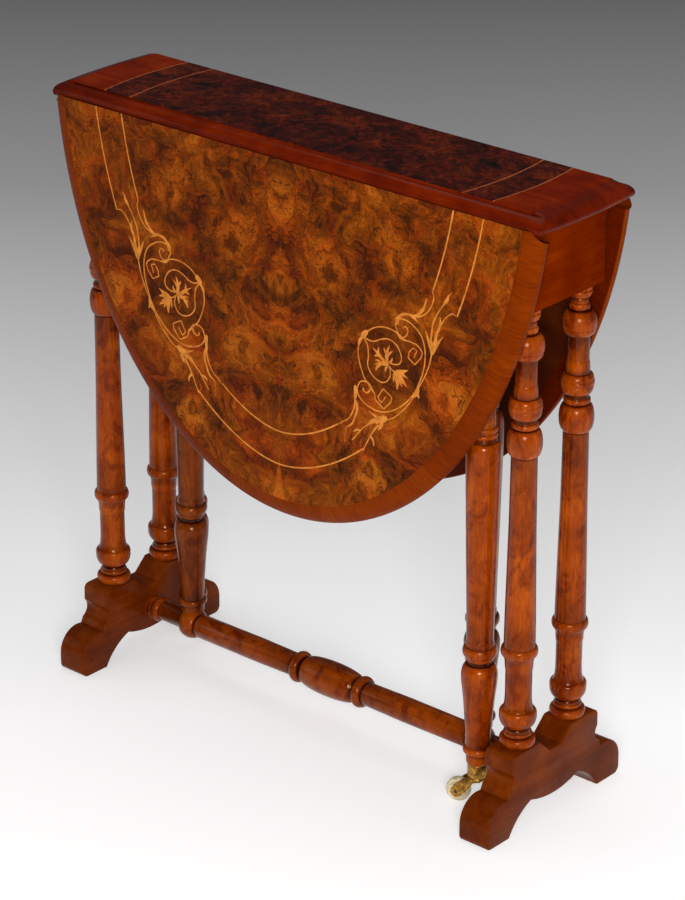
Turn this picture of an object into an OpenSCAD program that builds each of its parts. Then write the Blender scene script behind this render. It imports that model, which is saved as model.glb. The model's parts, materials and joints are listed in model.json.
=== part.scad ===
// Sutherland table: a narrow fixed top on two turned trestles, two oval drop
// leaves on rule joints, and a swinging gate with a caster under each leaf.
// X runs along the table, Y across it with the front at -Y, Z up from the floor.

/* [Top] */
// Height of the table top above the floor
table_h = 700; // [640:5:760]
// Length of the oval top
top_l = 682; // [640:2:760]
// Width of the oval top with both leaves up
open_w = 937; // [840:1:1000]
// Half the width of the flat of the fixed top, which is also the hinge line
pin_y = 65; // [62:1:72]
// Thickness of the top and leaf boards with their veneer
board_t = 17; // [16:0.5:20]
// Depth of the hinge pins below the top surface
pin_drop = 15; // [14:0.5:16]
// Height of the square step above the quarter-round of the rule joint
step_h = 3; // [2:0.5:4]
// Gap between the rule joint's quarter-round and the leaf's hollow
rule_gap = 0.4; // [0.3:0.05:0.6]
// Slope of the hanging leaves, which stand out a little at their lower ends
leaf_lean = 1; // [0:0.25:1.5]
// Gap between the leaf's lip and the step when the leaf is up
lip_gap = 0.3; // [0.2:0.05:0.6]
// Width of the moulded edging round the oval
edge_w = 22; // [18:1:28]
// Fall of the edging's moulding from the top face to its nose
edge_fall = 9.5; // [6:0.5:10]
// Depth of the quirk between veneer and edging
quirk = 0.8; // [0.4:0.1:1.5]

/* [Veneer] */
// Thickness of the veneers
veneer_t = 0.8; // [0.6:0.1:1.2]
// Width of the boxwood lines
line_w = 1.8; // [1:0.1:3]
// Distance of the outer oval line from the ends of the table
oval_out_end = 68; // [52:1:76]
// Distance of the outer oval line from the far edge of a leaf
oval_out_low = 62; // [50:1:72]
// Distance of the inner oval line from the ends of the table
oval_in_end = 106; // [96:1:120]
// Distance of the inner oval line from the far edge of a leaf
oval_in_low = 100; // [90:1:112]
// Fullness of the boxwood ovals, where 2 is an ellipse
oval_power = 1.8; // [1.7:0.05:2]

/* [End frames] */
// Distance of the middle of each end frame from the end of the table
frame_in = 44; // [38:1:56]
// Thickness of the end rails
frame_t = 34; // [30:1:38]
// Thickness of the feet
foot_t = 38; // [34:1:40]
// Depth of the end rails
rail_d = 93; // [80:1:100]
// Half the length of the end rails, across the table
rail_y = 61; // [58:0.5:61]
// Height of the column seats on the feet
foot_h = 95; // [88:1:105]
// Distance of the columns from the middle of the table
column_y = 43.2; // [42:0.2:43.4]
// Radius of the round tenons at the ends of the columns
tenon_r = 8; // [6:0.5:9]
// Length of the round tenons
tenon_l = 20; // [15:1:22]
// Room for glue round the tenons
glue_fit = 0.05; // [0.02:0.01:0.1]

/* [Stretcher] */
// Height of the stretcher's axis
stretcher_z = 50; // [48:1:54]
// Radius of the stretcher's rod
rod_r = 14.3; // [12:0.1:16]
// Radius of the stretcher's middle barrel
barrel_r = 20.5; // [18:0.5:24]
// Radius of the beads that carry the gate posts
bead_r = 18; // [17:0.5:20]

/* [Gates] */
// Distance of each gate's pivot from the end frame, along the table
pivot_gap = 84; // [78:1:92]
// Distance of each gate's leg from the end frame, along the table
leg_gap = 55; // [55:1:60]
// Distance of each gate's leg from the middle of the table, across it
leg_y = 40; // [38:0.5:41]
// Gap between the leg of the back gate, which is folded right in, and the long bearer
fold_gap = 1; // [0.8:0.1:3]
// Side of the square blocks at the top of post and leg
block_w = 30; // [26:1:32]
// Distance of the blocks' lower ends below the top
block_drop = 135; // [124:1:150]
// Thickness of the gate rail
gate_t = 20; // [16:1:22]
// Depth of the gate rail
gate_d = 45; // [35:1:50]
// Distance of the gate rail's lower edge below the top
gate_drop = 111; // [108:1:120]
// Radius of the iron pivot pins
pivot_r = 3; // [2.5:0.5:4]
// Running clearance of every pin in its hole
pin_fit = 0.06; // [0.03:0.01:0.09]
// Free height between a turning post or leg and what it meets
turn_gap = 0.3; // [0.2:0.1:0.6]

/* [Bearer] */
// Thickness of the long bearer under the top
bearer_t = 30; // [24:1:34]
// Depth of the long bearer
bearer_d = 55; // [45:1:56]
// Side of the glue blocks
glue_w = 16; // [12:1:17]

/* [Hinges] */
// Distance of the hinges from the middle of the table
hinge_x = 190; // [150:1:198]
// Length of a hinge along its pin
hinge_l = 40; // [30:1:46]
// Thickness of the hinge flaps
flap_t = 1.5; // [1.2:0.1:1.8]
// Reach of a flap on the fixed top, from the pin
flap_top = 28; // [24:1:34]
// Reach of a flap on the leaf, from the pin
flap_leaf = 40; // [36:1:48]
// Radius of the hinge knuckles
knuckle_r = 2.4; // [2.2:0.1:2.8]
// Radius of the hinge pins
pin_r = 1.2; // [1:0.1:1.4]
// Length of the wood screws in the hinges
screw_l = 10; // [8:0.5:11]
// Radius of the screw shanks
screw_r = 1.6; // [1.2:0.1:1.8]

/* [Casters] */
// Radius of the wheel
wheel_r = 13.5; // [12:0.5:14]
// Width of the wheel
wheel_w = 11; // [8:0.5:12]
// Distance of the axle behind the stem
trail = 21; // [18:0.5:22]
// Direction of the trail of the front caster, turned from +X
trail_turn = 199; // [150:1:230]
// Direction of the trail of the back caster, turned from +X
back_trail = 90; // [0:1:180]
// Radius of the axle
axle_r = 2; // [1.5:0.25:2.5]
// Outer radius of the brass socket
socket_r = 11; // [10.5:0.1:12]
// Height of the brass socket
socket_h = 16; // [12:1:18]
// Height of the socket's lower end above the floor
socket_z = 34; // [33:0.5:36]

/* [Hidden] */
$fn = 64;

eps = 0.01;
walnut = "#8a4a22";
dark_walnut = "#5f2d16";
burr = "#7a4a1c";
boxwood = "#d08a3c";
brass = "#b08a3e";
iron = "#4a4744";
cream = "#efe6c8";

oval_a = top_l / 2;
oval_b = open_w / 2;
under_z = table_h - board_t;
pin_z = table_h - pin_drop;
below_pin = board_t - pin_drop;
ovolo_r = pin_drop - step_h;
hollow_r = ovolo_r + rule_gap;
veneer_z = table_h - veneer_t;
rail_z = under_z - rail_d;
frame_x = oval_a - frame_in;
foot_x = frame_x - foot_t / 2;
pivot_x = frame_x - pivot_gap;
leg_x = frame_x - leg_gap;
block_z = under_z - block_drop;
gate_z = under_z - gate_drop;
arc_n = 10;
oval_step = 2.5;
big = 500;

// A stretch of a circle as a list of points
function arc(x, y, r, from, to, n = arc_n) =
    [for (i = [0:n]) let (t = from + (to - from) * i / n) [x + r * cos(t), y + r * sin(t)]];

// Point of an oval of the given half axes and fullness at angle t
function oval_point(a, b, p, t) =
    [a * sign(cos(t)) * pow(abs(cos(t)), 2 / p), b * sign(sin(t)) * pow(abs(sin(t)), 2 / p)];

// Outward unit normal of the table's ellipse at angle t
function out_normal(t) =
    let (n = [cos(t) / oval_a, sin(t) / oval_b]) n / norm(n);

// Point of the table's edge at angle t, moved inwards by a distance
function edge_point(t, inward) = oval_point(oval_a, oval_b, 2, t) - inward * out_normal(t);

// The whole oval of the table, moved inwards by a distance
module oval_sheet(inward) {
    polygon([for (t = [0:oval_step:360 - oval_step]) edge_point(t, inward)]);
}

// Section of the edging: distance in from the edge, height above the underside
edging = [[edge_w, 0], [edge_w, board_t], [edge_w - 0.6, board_t],
    [edge_w - 1.2, board_t - quirk], [edge_w * 0.72, board_t - edge_fall * 0.14],
    [edge_w * 0.5, board_t - edge_fall * 0.27], [edge_w * 0.32, board_t - edge_fall * 0.45],
    [edge_w * 0.18, board_t - edge_fall * 0.66], [edge_w * 0.07, board_t - edge_fall * 0.92],
    [edge_w * 0.01, board_t - edge_fall * 1.2], [0, board_t - edge_fall * 1.42],
    [edge_w * 0.03, 1.2], [edge_w * 0.08, 0]];

// The edging swept along the oval between two angles, lying with its underside at z 0
module edging_sweep(from, to) {
    n = ceil((to - from) / oval_step);
    m = len(edging);
    ring = [for (i = [0:n]) let (t = from + (to - from) * i / n)
        for (s = edging) let (q = edge_point(t, s[0])) [q[0], q[1], s[1]]];
    sides = [for (i = [0:n - 1]) for (j = [0:m - 1])
        let (a = i * m + j, b = i * m + (j + 1) % m)
        for (f = [[a, b, b + m], [a, b + m, a + m]]) f];
    ends = [[for (j = [m - 1:-1:0]) j], [for (j = [0:m - 1]) n * m + j]];
    polyhedron(points = ring, faces = concat(sides, ends), convexity = 6);
}

// A rod along X between two places
module rod_x(x0, x1, y, z, r) {
    translate([x0, y, z]) rotate([0, 90, 0]) cylinder(r = r, h = x1 - x0);
}

// Does the children at both hinges of a leaf
module at_hinges() {
    for (s = [-1, 1]) translate([s * hinge_x, 0, 0]) children();
}

// Countersunk wood screw, head up at z 0 and point down
module wood_screw(l, r) {
    rotate_extrude() polygon([[0, 0], [2 * r, 0], [r, -r], [r, -l + r], [0, -l]]);
}

// The fixed top

// Solid between the two rule joints, over the whole length of the table
module top_section() {
    translate([-big, -pin_y, under_z]) cube([2 * big, 2 * pin_y, board_t]);
    for (s = [-1, 1]) intersection() {
        rod_x(-big, big, s * pin_y, pin_z, ovolo_r);
        translate([-big, s * pin_y - ovolo_r, pin_z]) cube([2 * big, 2 * ovolo_r, ovolo_r]);
    }
    translate([-big, -pin_y - ovolo_r, under_z]) cube([2 * big, 2 * (pin_y + ovolo_r), below_pin]);
}

// Room in the fixed top for the knuckles and both flaps of the front hinges
module hinge_room() {
    at_hinges() {
        rod_x(-hinge_l / 2 - 1, hinge_l / 2 + 1, -pin_y, pin_z, knuckle_r + 0.4);
        translate([-hinge_l / 2, -pin_y + knuckle_r + 0.2, under_z - eps])
            cube([hinge_l, flap_top - knuckle_r - 0.2, flap_t + eps]);
        translate([-hinge_l / 2 - 1, -pin_y - ovolo_r - 1, under_z - eps])
            cube([hinge_l + 2, ovolo_r + 1 + knuckle_r + 0.2, flap_t + 0.4 + eps]);
    }
}

// Places of the screws in the flaps on the front of the fixed top
module at_top_screws() {
    at_hinges() for (p = [[-0.34, 0.42], [0, 0.75], [0.34, 0.42]])
        translate([p[0] * hinge_l, -pin_y + p[1] * flap_top, under_z])
            rotate([180, 0, 0]) children();
}

module top_flap_screws() { at_top_screws() wood_screw(screw_l, screw_r); }

module both_sides() {
    children();
    rotate([0, 0, 180]) children();
}

module top_board() {
    color(dark_walnut) difference() {
        intersection() {
            top_section();
            translate([0, 0, under_z - 1]) linear_extrude(board_t + 1 - veneer_t) oval_sheet(edge_w);
        }
        both_sides() hinge_room();
        both_sides() top_flap_screws();
        block_screws_plain();
    }
}

// Lines of boxwood across the fixed top, which carry on the two ovals of the leaves
module top_lines() {
    intersection() {
        for (s = [0, 1]) mirror([s, 0]) translate([0, pin_y]) {
            oval_line(oval_out_end, oval_out_low, -14, 14);
            oval_line(oval_in_end, oval_in_low, -14, 14);
        }
        translate([-big, -pin_y]) square([2 * big, 2 * pin_y]);
    }
}

// The flat of the fixed top, and the oval that holds its burr veneer
module top_flat() {
    intersection() {
        oval_sheet(edge_w);
        translate([-oval_a, -pin_y]) square([2 * oval_a, 2 * pin_y]);
    }
}
module burr_sheet() {
    polygon([for (t = [0:oval_step:360 - oval_step])
        oval_point(oval_a - oval_out_end, oval_b - oval_out_low, oval_power, t)]);
}

module top_burr_veneer() {
    color(burr) translate([0, 0, veneer_z]) linear_extrude(veneer_t) difference() {
        intersection() {
            top_flat();
            burr_sheet();
        }
        top_lines();
    }
}

module top_end_veneers() {
    color(walnut) translate([0, 0, veneer_z]) linear_extrude(veneer_t) difference() {
        top_flat();
        burr_sheet();
        top_lines();
    }
}

module top_stringing() {
    color(boxwood) translate([0, 0, veneer_z]) linear_extrude(veneer_t) top_lines();
}

module top_edging() {
    reach = 6 * oval_step;
    color(dark_walnut) intersection() {
        top_section();
        translate([0, 0, under_z]) edging_sweep(-reach, reach);
    }
}

// The end frames

module end_rail() {
    color(walnut) difference() {
        translate([frame_x - frame_t / 2, -rail_y, rail_z]) cube([frame_t, 2 * rail_y, rail_d]);
        for (s = [-1, 1]) translate([frame_x, s * column_y, rail_z - eps])
            cylinder(r = tenon_r + glue_fit, h = tenon_l + eps);
        bearer_bar();
    }
}

// Outline of half a foot, across the table and up
nose_r = 7;
nose_y = 67;
notch = [10, 16];
hollow_c = [83, foot_h - 29];
toe_r = 27.5;
toe_c = [88, 21];
sole_r = 8;
cusp = [40, 31];
arch_c = [18.4, -32.4];
arch_r = norm(cusp - arch_c);
belly_z = 23.5;
belly_r = (pow(cusp[0], 2) + pow(cusp[1] - belly_z, 2)) / (2 * (cusp[1] - belly_z));
belly_turn = asin(cusp[0] / belly_r);
half_foot = concat(
    [[0, foot_h - notch[1]], [notch[0], foot_h - notch[1]], [27, foot_h]],
    arc(nose_y, foot_h - nose_r, nose_r, 90, -10, 6),
    arc(hollow_c[0], hollow_c[1], 12.5, 135, 245),
    arc(toe_c[0], toe_c[1], toe_r, 105, 0),
    arc(toe_c[0] + toe_r - sole_r, sole_r, sole_r, 0, -90, 5),
    arc(arch_c[0], arch_c[1], arch_r, asin(-arch_c[1] / arch_r), acos((cusp[0] - arch_c[0]) / arch_r)),
    arc(0, belly_z + belly_r, belly_r, belly_turn - 90, -90));
foot_outline = concat(half_foot,
    [for (i = [len(half_foot) - 2:-1:1]) [-half_foot[i][0], half_foot[i][1]]]);

module foot() {
    color(walnut) difference() {
        translate([foot_x, 0, 0]) rotate([90, 0, 90]) linear_extrude(foot_t) polygon(foot_outline);
        for (s = [-1, 1]) translate([frame_x, s * column_y, foot_h - tenon_l])
            cylinder(r = tenon_r + glue_fit, h = tenon_l + 1);
        rod_x(foot_x - 1, foot_x + tenon_l, 0, stretcher_z, stub_r + glue_fit);
    }
}

// Turned work: each piece of outline is a list of radius and height

// A rounded ring that swells from r0 to r, at height z, and half as high as h says
function ring(z, r0, r, h) = [for (i = [0:arc_n]) let (t = -90 + 180 * i / arc_n)
    [r0 + (r - r0) * cos(t), z + h * sin(t)]];

// A hollow or swelling curve between two radii, steep at its lower end
function sweep_up(z0, r0, z1, r1) = [for (i = [0:arc_n]) let (t = 90 * i / arc_n)
    [r0 + (r1 - r0) * (1 - cos(t)), z0 + (z1 - z0) * sin(t)]];

// The same between two radii, steep at its upper end
function sweep_out(z0, r0, z1, r1) = [for (i = [0:arc_n]) let (t = 90 * i / arc_n)
    [r0 + (r1 - r0) * sin(t), z0 + (z1 - z0) * (1 - cos(t))]];

module turned(outline) {
    rotate_extrude() polygon(concat([[0, outline[0][1]]], outline,
        [[0, outline[len(outline) - 1][1]]]));
}

// Outline of a column, whose foot parts follow its seat and whose head parts follow the rail
function column_outline(lo, hi) = concat(
    [[tenon_r, lo - tenon_l], [tenon_r, lo], [17.6, lo]],
    ring(lo + 5.5, 17.4, 19.5, 4.5), ring(lo + 13.5, 14, 15.4, 2.5),
    sweep_up(lo + 16.5, 14, lo + 21, 11.6), sweep_out(lo + 21, 11.6, lo + 34, 20),
    sweep_up(lo + 37, 20, lo + 41.5, 17.4), [[16.6, lo + 41.8], [16.8, lo + 42.2], [15.6, lo + 45]],
    [[14.8, lo + 49], [14.3, lo + 55], [14.2, lo + 60], [14.2, lo + 88]],
    sweep_out(lo + 88, 14.2, lo + 98, 15.2), [[16.2, lo + 102]],
    ring(lo + 110, 17, 19.8, 5.5), [[16.8, lo + 118]],
    [[16.2, lo + 160], [14.4, hi - 240], [13.8, hi - 163.8], [13.2, hi - 163.4], [13.2, hi - 162.8]],
    ring(hi - 147.6, 13.6, 18.6, 15), [[12.8, hi - 132.3]], ring(hi - 128.6, 12.4, 14.3, 3.2),
    [[12.2, hi - 125], [12.2, hi - 121]], sweep_out(hi - 121, 12.2, hi - 111.5, 17.2),
    ring(hi - 108, 17, 17.9, 3), sweep_up(hi - 104.5, 17, hi - 98, 13.2),
    [[12.4, hi - 97.8]], sweep_up(hi - 97.6, 12.8, hi - 84, 11.6), [[11.5, hi - 57.6]],
    [[12.3, hi - 57], [12.3, hi - 55.6]], sweep_out(hi - 55.6, 12.3, hi - 48.6, 17.2),
    [[16.8, hi - 48.2], [17.4, hi - 47.8]], sweep_out(hi - 47.8, 17.4, hi - 42, 18.2),
    sweep_up(hi - 41, 18.2, hi - 28.5, 10.4), ring(hi - 24.5, 10, 11.2, 3.6),
    sweep_up(hi - 20.5, 9.6, hi - 14.5, 8.5), sweep_out(hi - 14.5, 8.5, hi - 11, 12),
    ring(hi - 8.5, 12, 13.2, 2), [[13.2, hi - 5], [13.2, hi], [tenon_r, hi], [tenon_r, hi + tenon_l]]);

module column() { color(walnut) turned(column_outline(foot_h, rail_z)); }

// The long bearer and its blocks

bearer_tenon = 12;
module bearer_bar() {
    half = frame_x - frame_t / 2;
    translate([-half, -bearer_t / 2, under_z - bearer_d]) cube([2 * half, bearer_t, bearer_d]);
    translate([-half - bearer_tenon, -bearer_t / 4, under_z - bearer_d + 8])
        cube([2 * (half + bearer_tenon), bearer_t / 2, bearer_d - 16]);
}

module long_bearer() {
    color(walnut) difference() {
        bearer_bar();
        for (s = [-1, 1]) translate([s * pivot_x, 0, under_z - bearer_d - 1])
            cylinder(r = pivot_r, h = pivot_in + 1);
    }
}

glue_l = 26;
glue_x = frame_x - frame_t / 2 - glue_w;
glue_y = bearer_t / 2 + 4;
module glue_block_plain() {
    translate([glue_x, glue_y, under_z - glue_w])
        rotate([-90, 0, 0]) linear_extrude(glue_l)
            polygon([[glue_w, 0], [glue_w, -glue_w], [0, -glue_w], [0, -glue_w * 0.6],
                [glue_w * 0.6, 0]]);
}
module four_ways() {
    for (sx = [0, 1]) for (sy = [0, 1]) mirror([sx, 0, 0]) mirror([0, sy, 0]) children();
}
module block_screws_plain() {
    four_ways() translate([glue_x + glue_w * 0.68, glue_y + glue_l / 2, under_z - glue_w])
        rotate([180, 0, 0]) wood_screw(glue_w + 9, 1.8);
}
module glue_blocks() { color(walnut) difference() { four_ways() glue_block_plain(); block_screws_plain(); } }
module block_screws() { color(iron) block_screws_plain(); }

// The stretcher

stub_r = 10;
seat_z = stretcher_z + bead_r - 1;
washer_t = 1;
post_z = seat_z + washer_t + turn_gap;
neck_r = 11;
function stretcher_outline(x) = concat(
    [[stub_r, -x - tenon_l], [stub_r, -x], [13.2, -x], [13.2, -x + 6], [neck_r, -x + 8]],
    ring(-frame_x + 32, neck_r, 14, 5), [[neck_r, -frame_x + 38]],
    [[neck_r, -pivot_x - 13]], ring(-pivot_x, 12, bead_r, 11), [[13, -pivot_x + 12]],
    [[rod_r - 0.4, -pivot_x + 15], [rod_r, -110], [rod_r - 0.8, -56]],
    ring(-46, 13, 18.4, 6), [[13.4, -38.5]], ring(0, 14.4, barrel_r, 37), [[13.4, 38.5]],
    ring(46, 13, 18.4, 6), [[rod_r - 0.8, 56], [rod_r, 110], [rod_r - 0.4, pivot_x - 15]],
    [[13, pivot_x - 12]], ring(pivot_x, 12, bead_r, 11), [[neck_r, pivot_x + 13]],
    [[neck_r, frame_x - 38]], ring(frame_x - 32, neck_r, 14, 5),
    [[neck_r, x - 8], [13.2, x - 6], [13.2, x], [stub_r, x], [stub_r, x + tenon_l]]);

module stretcher() {
    color(walnut) difference() {
        translate([0, 0, stretcher_z]) rotate([0, 90, 0])
            turned(stretcher_outline(foot_x));
        for (s = [-1, 1]) translate([s * pivot_x, 0, 0]) {
            translate([-20, -20, seat_z]) cube(40);
            translate([0, 0, seat_z - pivot_in]) cylinder(r = pivot_r, h = 30);
        }
    }
}

// The gates, each built with its pivot on the Z axis and its leg on the +X side

pivot_in = 16;
pivot_up = 14;
gate_l = norm([pivot_x + leg_x, leg_y]);
gate_turn = atan2(leg_y, pivot_x + leg_x);
module at_gate() { translate([-pivot_x, 0, 0]) rotate([0, 0, -gate_turn]) children(); }
module at_leg() { at_gate() translate([gate_l, 0, 0]) children(); }
module to_back() { rotate([0, 0, 180]) children(); }

// The back gate has the front one's shape, turned half round and folded further in
back_leg_y = bearer_t / 2 + 0.535 * block_w + fold_gap;
back_fold = gate_turn - asin(back_leg_y / gate_l);
module to_back_gate() {
    to_back() translate([-pivot_x, 0, 0]) rotate([0, 0, back_fold]) translate([pivot_x, 0, 0]) children();
}
module to_back_caster() {
    to_back_gate() translate([leg_x, -leg_y, 0]) rotate([0, 0, back_trail - trail_turn - 180 - back_fold])
        translate([-leg_x, leg_y, 0]) children();
}

post_top = under_z - bearer_d - turn_gap;
leg_top = under_z - turn_gap;
leg_z = socket_z + socket_h;

module pivot_pins() {
    color(iron) at_gate() {
        translate([0, 0, seat_z - pivot_in]) cylinder(r = pivot_r, h = pivot_in + pivot_up);
        translate([0, 0, post_top - pivot_up]) cylinder(r = pivot_r, h = pivot_in + pivot_up);
    }
}
module pivot_washers() {
    color(brass) both_sides() at_gate() translate([0, 0, seat_z]) difference() {
        cylinder(r = 7, h = washer_t);
        translate([0, 0, -1]) cylinder(r = pivot_r, h = washer_t + 2);
    }
}

// Outline shared by post and leg: z is the middle of the great ring, top the shoulder
function gate_outline(z, top) = concat(
    ring(z - 118, 13.6, 16.6, 4), [[13.4, z - 112], [13.9, z - 96], [15.5, z - 77], [16.8, z - 59],
        [18, z - 48], [19.1, z - 39], [19.6, z - 33]], sweep_up(z - 28, 19.7, z - 15, 13.2),
    [[12.8, z - 14.6], [12.8, z - 11]], sweep_out(z - 11, 12.8, z - 6, 16),
    ring(z, 15.4, 18.7, 6), sweep_up(z + 6, 15.4, z + 13, 14.6),
    [[15, z + 40], [17, top - 103], [18.9, top - 7]], sweep_up(top, 18.9, top + 11, 14.2),
    ring(top + 18, 13, 14.6, 2.5), ring(top + 25, 13, 14.6, 2.5));
leg_ring_z = leg_z + 135;
post_ring_z = post_z + 130;
leg_shoulder = block_z - 132;
post_shoulder = block_z - 119;

// Square top block on a turned neck
module block_and_neck(from, top) {
    translate([-block_w / 2, -block_w / 2, block_z]) cube([block_w, block_w, top - block_z]);
    turned(concat([[12.3, from - 3], [12.3, from + 1], [12, from + 8]], ring(block_z - 22, 11.6, 13.6, 4),
        sweep_out(block_z - 16, 11.6, block_z, 14)));
}
tenon_h = gate_d - 10;
module gate_tenons(x0, x1) {
    translate([x0, -gate_t / 4, gate_z + 5]) cube([x1 - x0, gate_t / 2, tenon_h]);
}
module gate_post() {
    color(walnut) at_gate() difference() {
        union() {
            turned(concat([[13.6, post_z], [13.6, post_z + 4]], gate_outline(post_ring_z, post_shoulder)));
            block_and_neck(post_shoulder + 27, post_top);
        }
        translate([0, 0, post_z - 1]) cylinder(r = pivot_r + pin_fit, h = pivot_up + 2);
        translate([0, 0, post_top - pivot_up - 1]) cylinder(r = pivot_r + pin_fit, h = pivot_up + 2);
        gate_tenons(0, gate_l);
    }
}
module gate_leg() {
    color(walnut) at_leg() difference() {
        union() {
            turned(concat([[socket_r - 1.2, leg_z - socket_h + 3], [socket_r - 1.2, leg_z],
                [socket_r, leg_z]],
                sweep_out(leg_z, socket_r, leg_z + 5, 12.9), sweep_up(leg_z + 7, 12.9, leg_z + 12, 12.4),
                gate_outline(leg_ring_z, leg_shoulder)));
            block_and_neck(leg_shoulder + 27, leg_top);
        }
        translate([0, 0, leg_z - socket_h]) cylinder(r = stem_r + pin_fit, h = stem_l + 1);
        translate([-gate_l, 0, 0]) gate_tenons(0, gate_l);
    }
}
module gate_rail() {
    color(walnut) at_gate() {
        translate([block_w / 2, -gate_t / 2, gate_z]) cube([gate_l - block_w, gate_t, gate_d]);
        difference() {
            gate_tenons(0, gate_l);
            translate([-1, -gate_t, gate_z]) cube([block_w / 2 - 11, 2 * gate_t, gate_d]);
            translate([gate_l + 12 - block_w / 2, -gate_t, gate_z]) cube([block_w, 2 * gate_t, gate_d]);
        }
    }
}

// The casters, each built with its stem on the Z axis and its wheel towards +X

stem_r = 3;
stem_l = 26;
cheek_t = 2.4;
cheek_gap = 0.6;
plate_t = 4;
plate_z = socket_z - turn_gap - plate_t;
fork_w = wheel_w + 2 * (cheek_gap + cheek_t);
module at_caster() { at_leg() rotate([0, 0, trail_turn + gate_turn]) children(); }
module caster_socket() {
    color(brass) at_leg() rotate_extrude() polygon([[stem_r + pin_fit, socket_z], [socket_r - 0.6, socket_z],
        [socket_r, socket_z + 1.5], [socket_r, leg_z - 1], [socket_r - 0.3, leg_z], [socket_r - 1.2, leg_z],
        [socket_r - 1.2, socket_z + 3], [stem_r + pin_fit, socket_z + 3]]);
}
module cheek_outline() {
    translate([trail, wheel_r]) circle(r = 6.5);
    polygon([[-6, plate_z + plate_t], [9, plate_z + plate_t], [trail + 2, wheel_r + 9],
        [trail + 6.2, wheel_r + 2], [trail - 3, wheel_r - 5.8], [8, wheel_r + 5], [2, plate_z - 2],
        [-6, plate_z]]);
}
module caster_horn() {
    color(brass) at_caster() difference() {
        union() {
            translate([0, 0, plate_z]) {
                cylinder(r = stem_r, h = plate_t + turn_gap + stem_l - 1);
                cylinder(r = 9, h = plate_t);
            }
            for (s = [-1, 1]) translate([0, s * (fork_w - cheek_t) / 2 + cheek_t / 2, 0])
                rotate([90, 0, 0]) linear_extrude(cheek_t) cheek_outline();
            translate([-6, -fork_w / 2, plate_z]) cube([15, fork_w, plate_t]);
        }
        translate([trail, -20, wheel_r]) rotate([-90, 0, 0]) cylinder(r = axle_r, h = 40);
    }
}
module caster_axle() {
    color(iron) at_caster() translate([trail, -fork_w / 2 - 0.6, wheel_r])
        rotate([-90, 0, 0]) cylinder(r = axle_r, h = fork_w + 1.2);
}
module caster_wheel() {
    h = wheel_w / 2;
    color(cream) at_caster() translate([trail, 0, wheel_r]) rotate([90, 0, 0]) rotate_extrude()
        polygon(concat([[axle_r + pin_fit, -h], [5, -h], [6, -h + 1], [9, -h + 1]],
            arc(wheel_r - 3, -h + 3, 3, -90, 0, 6), arc(wheel_r - 3, h - 3, 3, 0, 90, 6),
            [[9, h - 1], [6, h - 1], [5, h], [axle_r + pin_fit, h]]));
}

// The leaves, each drawn flat with the pin along X, the leaf on the +Y side,
// its face up at z pin_drop, and then hung down at the front

module hang() { translate([0, -pin_y, pin_z]) rotate([-leaf_lean, 0, 0]) rotate([-90, 0, 180]) children(); }

// What the rule joint takes away from the edge of a leaf
module rule_cut() {
    translate([-big, -big, -board_t]) cube([2 * big, big + lip_gap, 3 * board_t]);
    rod_x(-big, big, 0, 0, hollow_r);
    translate([-big, -1, -board_t]) cube([2 * big, 1 + hollow_r, board_t]);
}
module leaf_sheet(inward) {
    translate([0, -pin_y]) intersection() {
        oval_sheet(inward);
        translate([-big, 0]) square([2 * big, big]);
    }
}
// Places of the screws in the flaps of a leaf
module at_leaf_screws() {
    at_hinges() for (p = [[-0.34, 0.62], [0, 0.85], [0.34, 0.62]])
        translate([p[0] * hinge_l, p[1] * flap_leaf, -below_pin]) rotate([180, 0, 0]) children();
}
module leaf_screws_plain() { at_leaf_screws() wood_screw(screw_l, screw_r); }

module leaf_board() {
    color(walnut) hang() difference() {
        translate([0, 0, -below_pin]) linear_extrude(board_t - veneer_t) leaf_sheet(edge_w);
        rule_cut();
        at_hinges() translate([-hinge_l / 2, 0, -below_pin - 1]) cube([hinge_l, flap_leaf, flap_t + 1]);
        leaf_screws_plain();
    }
}
module leaf_edging() {
    color(dark_walnut) hang() difference() {
        translate([0, -pin_y, -below_pin]) edging_sweep(5, 175);
        rule_cut();
    }
}
// A boxwood line along an oval on the leaf, at a distance from the end and from the far edge
module oval_line(end_gap, low_gap, from, to) {
    a = oval_a - end_gap;
    b = oval_b - low_gap;
    n = ceil((to - from) / oval_step);
    function at(t, d) = let (q = oval_point(a, b, oval_power, t), g = oval_point(a, b, oval_power, t + 0.5)
        - oval_point(a, b, oval_power, t - 0.5), m = [g[1], -g[0]] / norm(g)) q + d * m - [0, pin_y];
    polygon([for (i = [0:n]) at(from + (to - from) * i / n, line_w / 2),
        for (i = [n:-1:0]) at(from + (to - from) * i / n, -line_w / 2)]);
}
module leaf_lines() {
    intersection() {
        union() {
            for (s = [0, 1]) mirror([s, 0]) {
                oval_line(oval_out_end, oval_out_low, 3, 28.1);
                oval_line(oval_in_end, oval_in_low, 3, 27.3);
            }
            oval_line(oval_out_end, oval_out_low, 62, 118);
            oval_line(oval_in_end, oval_in_low, 67, 113);
        }
        translate([-big, lip_gap]) square([2 * big, big]);
    }
}
module leaf_veneer() {
    color(burr) hang() translate([0, 0, pin_drop - veneer_t]) linear_extrude(veneer_t) difference() {
        leaf_sheet(edge_w);
        translate([-big, -big + lip_gap]) square([2 * big, big]);
        leaf_lines();
    }
}
module leaf_stringing() {
    color(boxwood) hang() translate([0, 0, pin_drop - veneer_t]) linear_extrude(veneer_t) leaf_lines();
}

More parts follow.
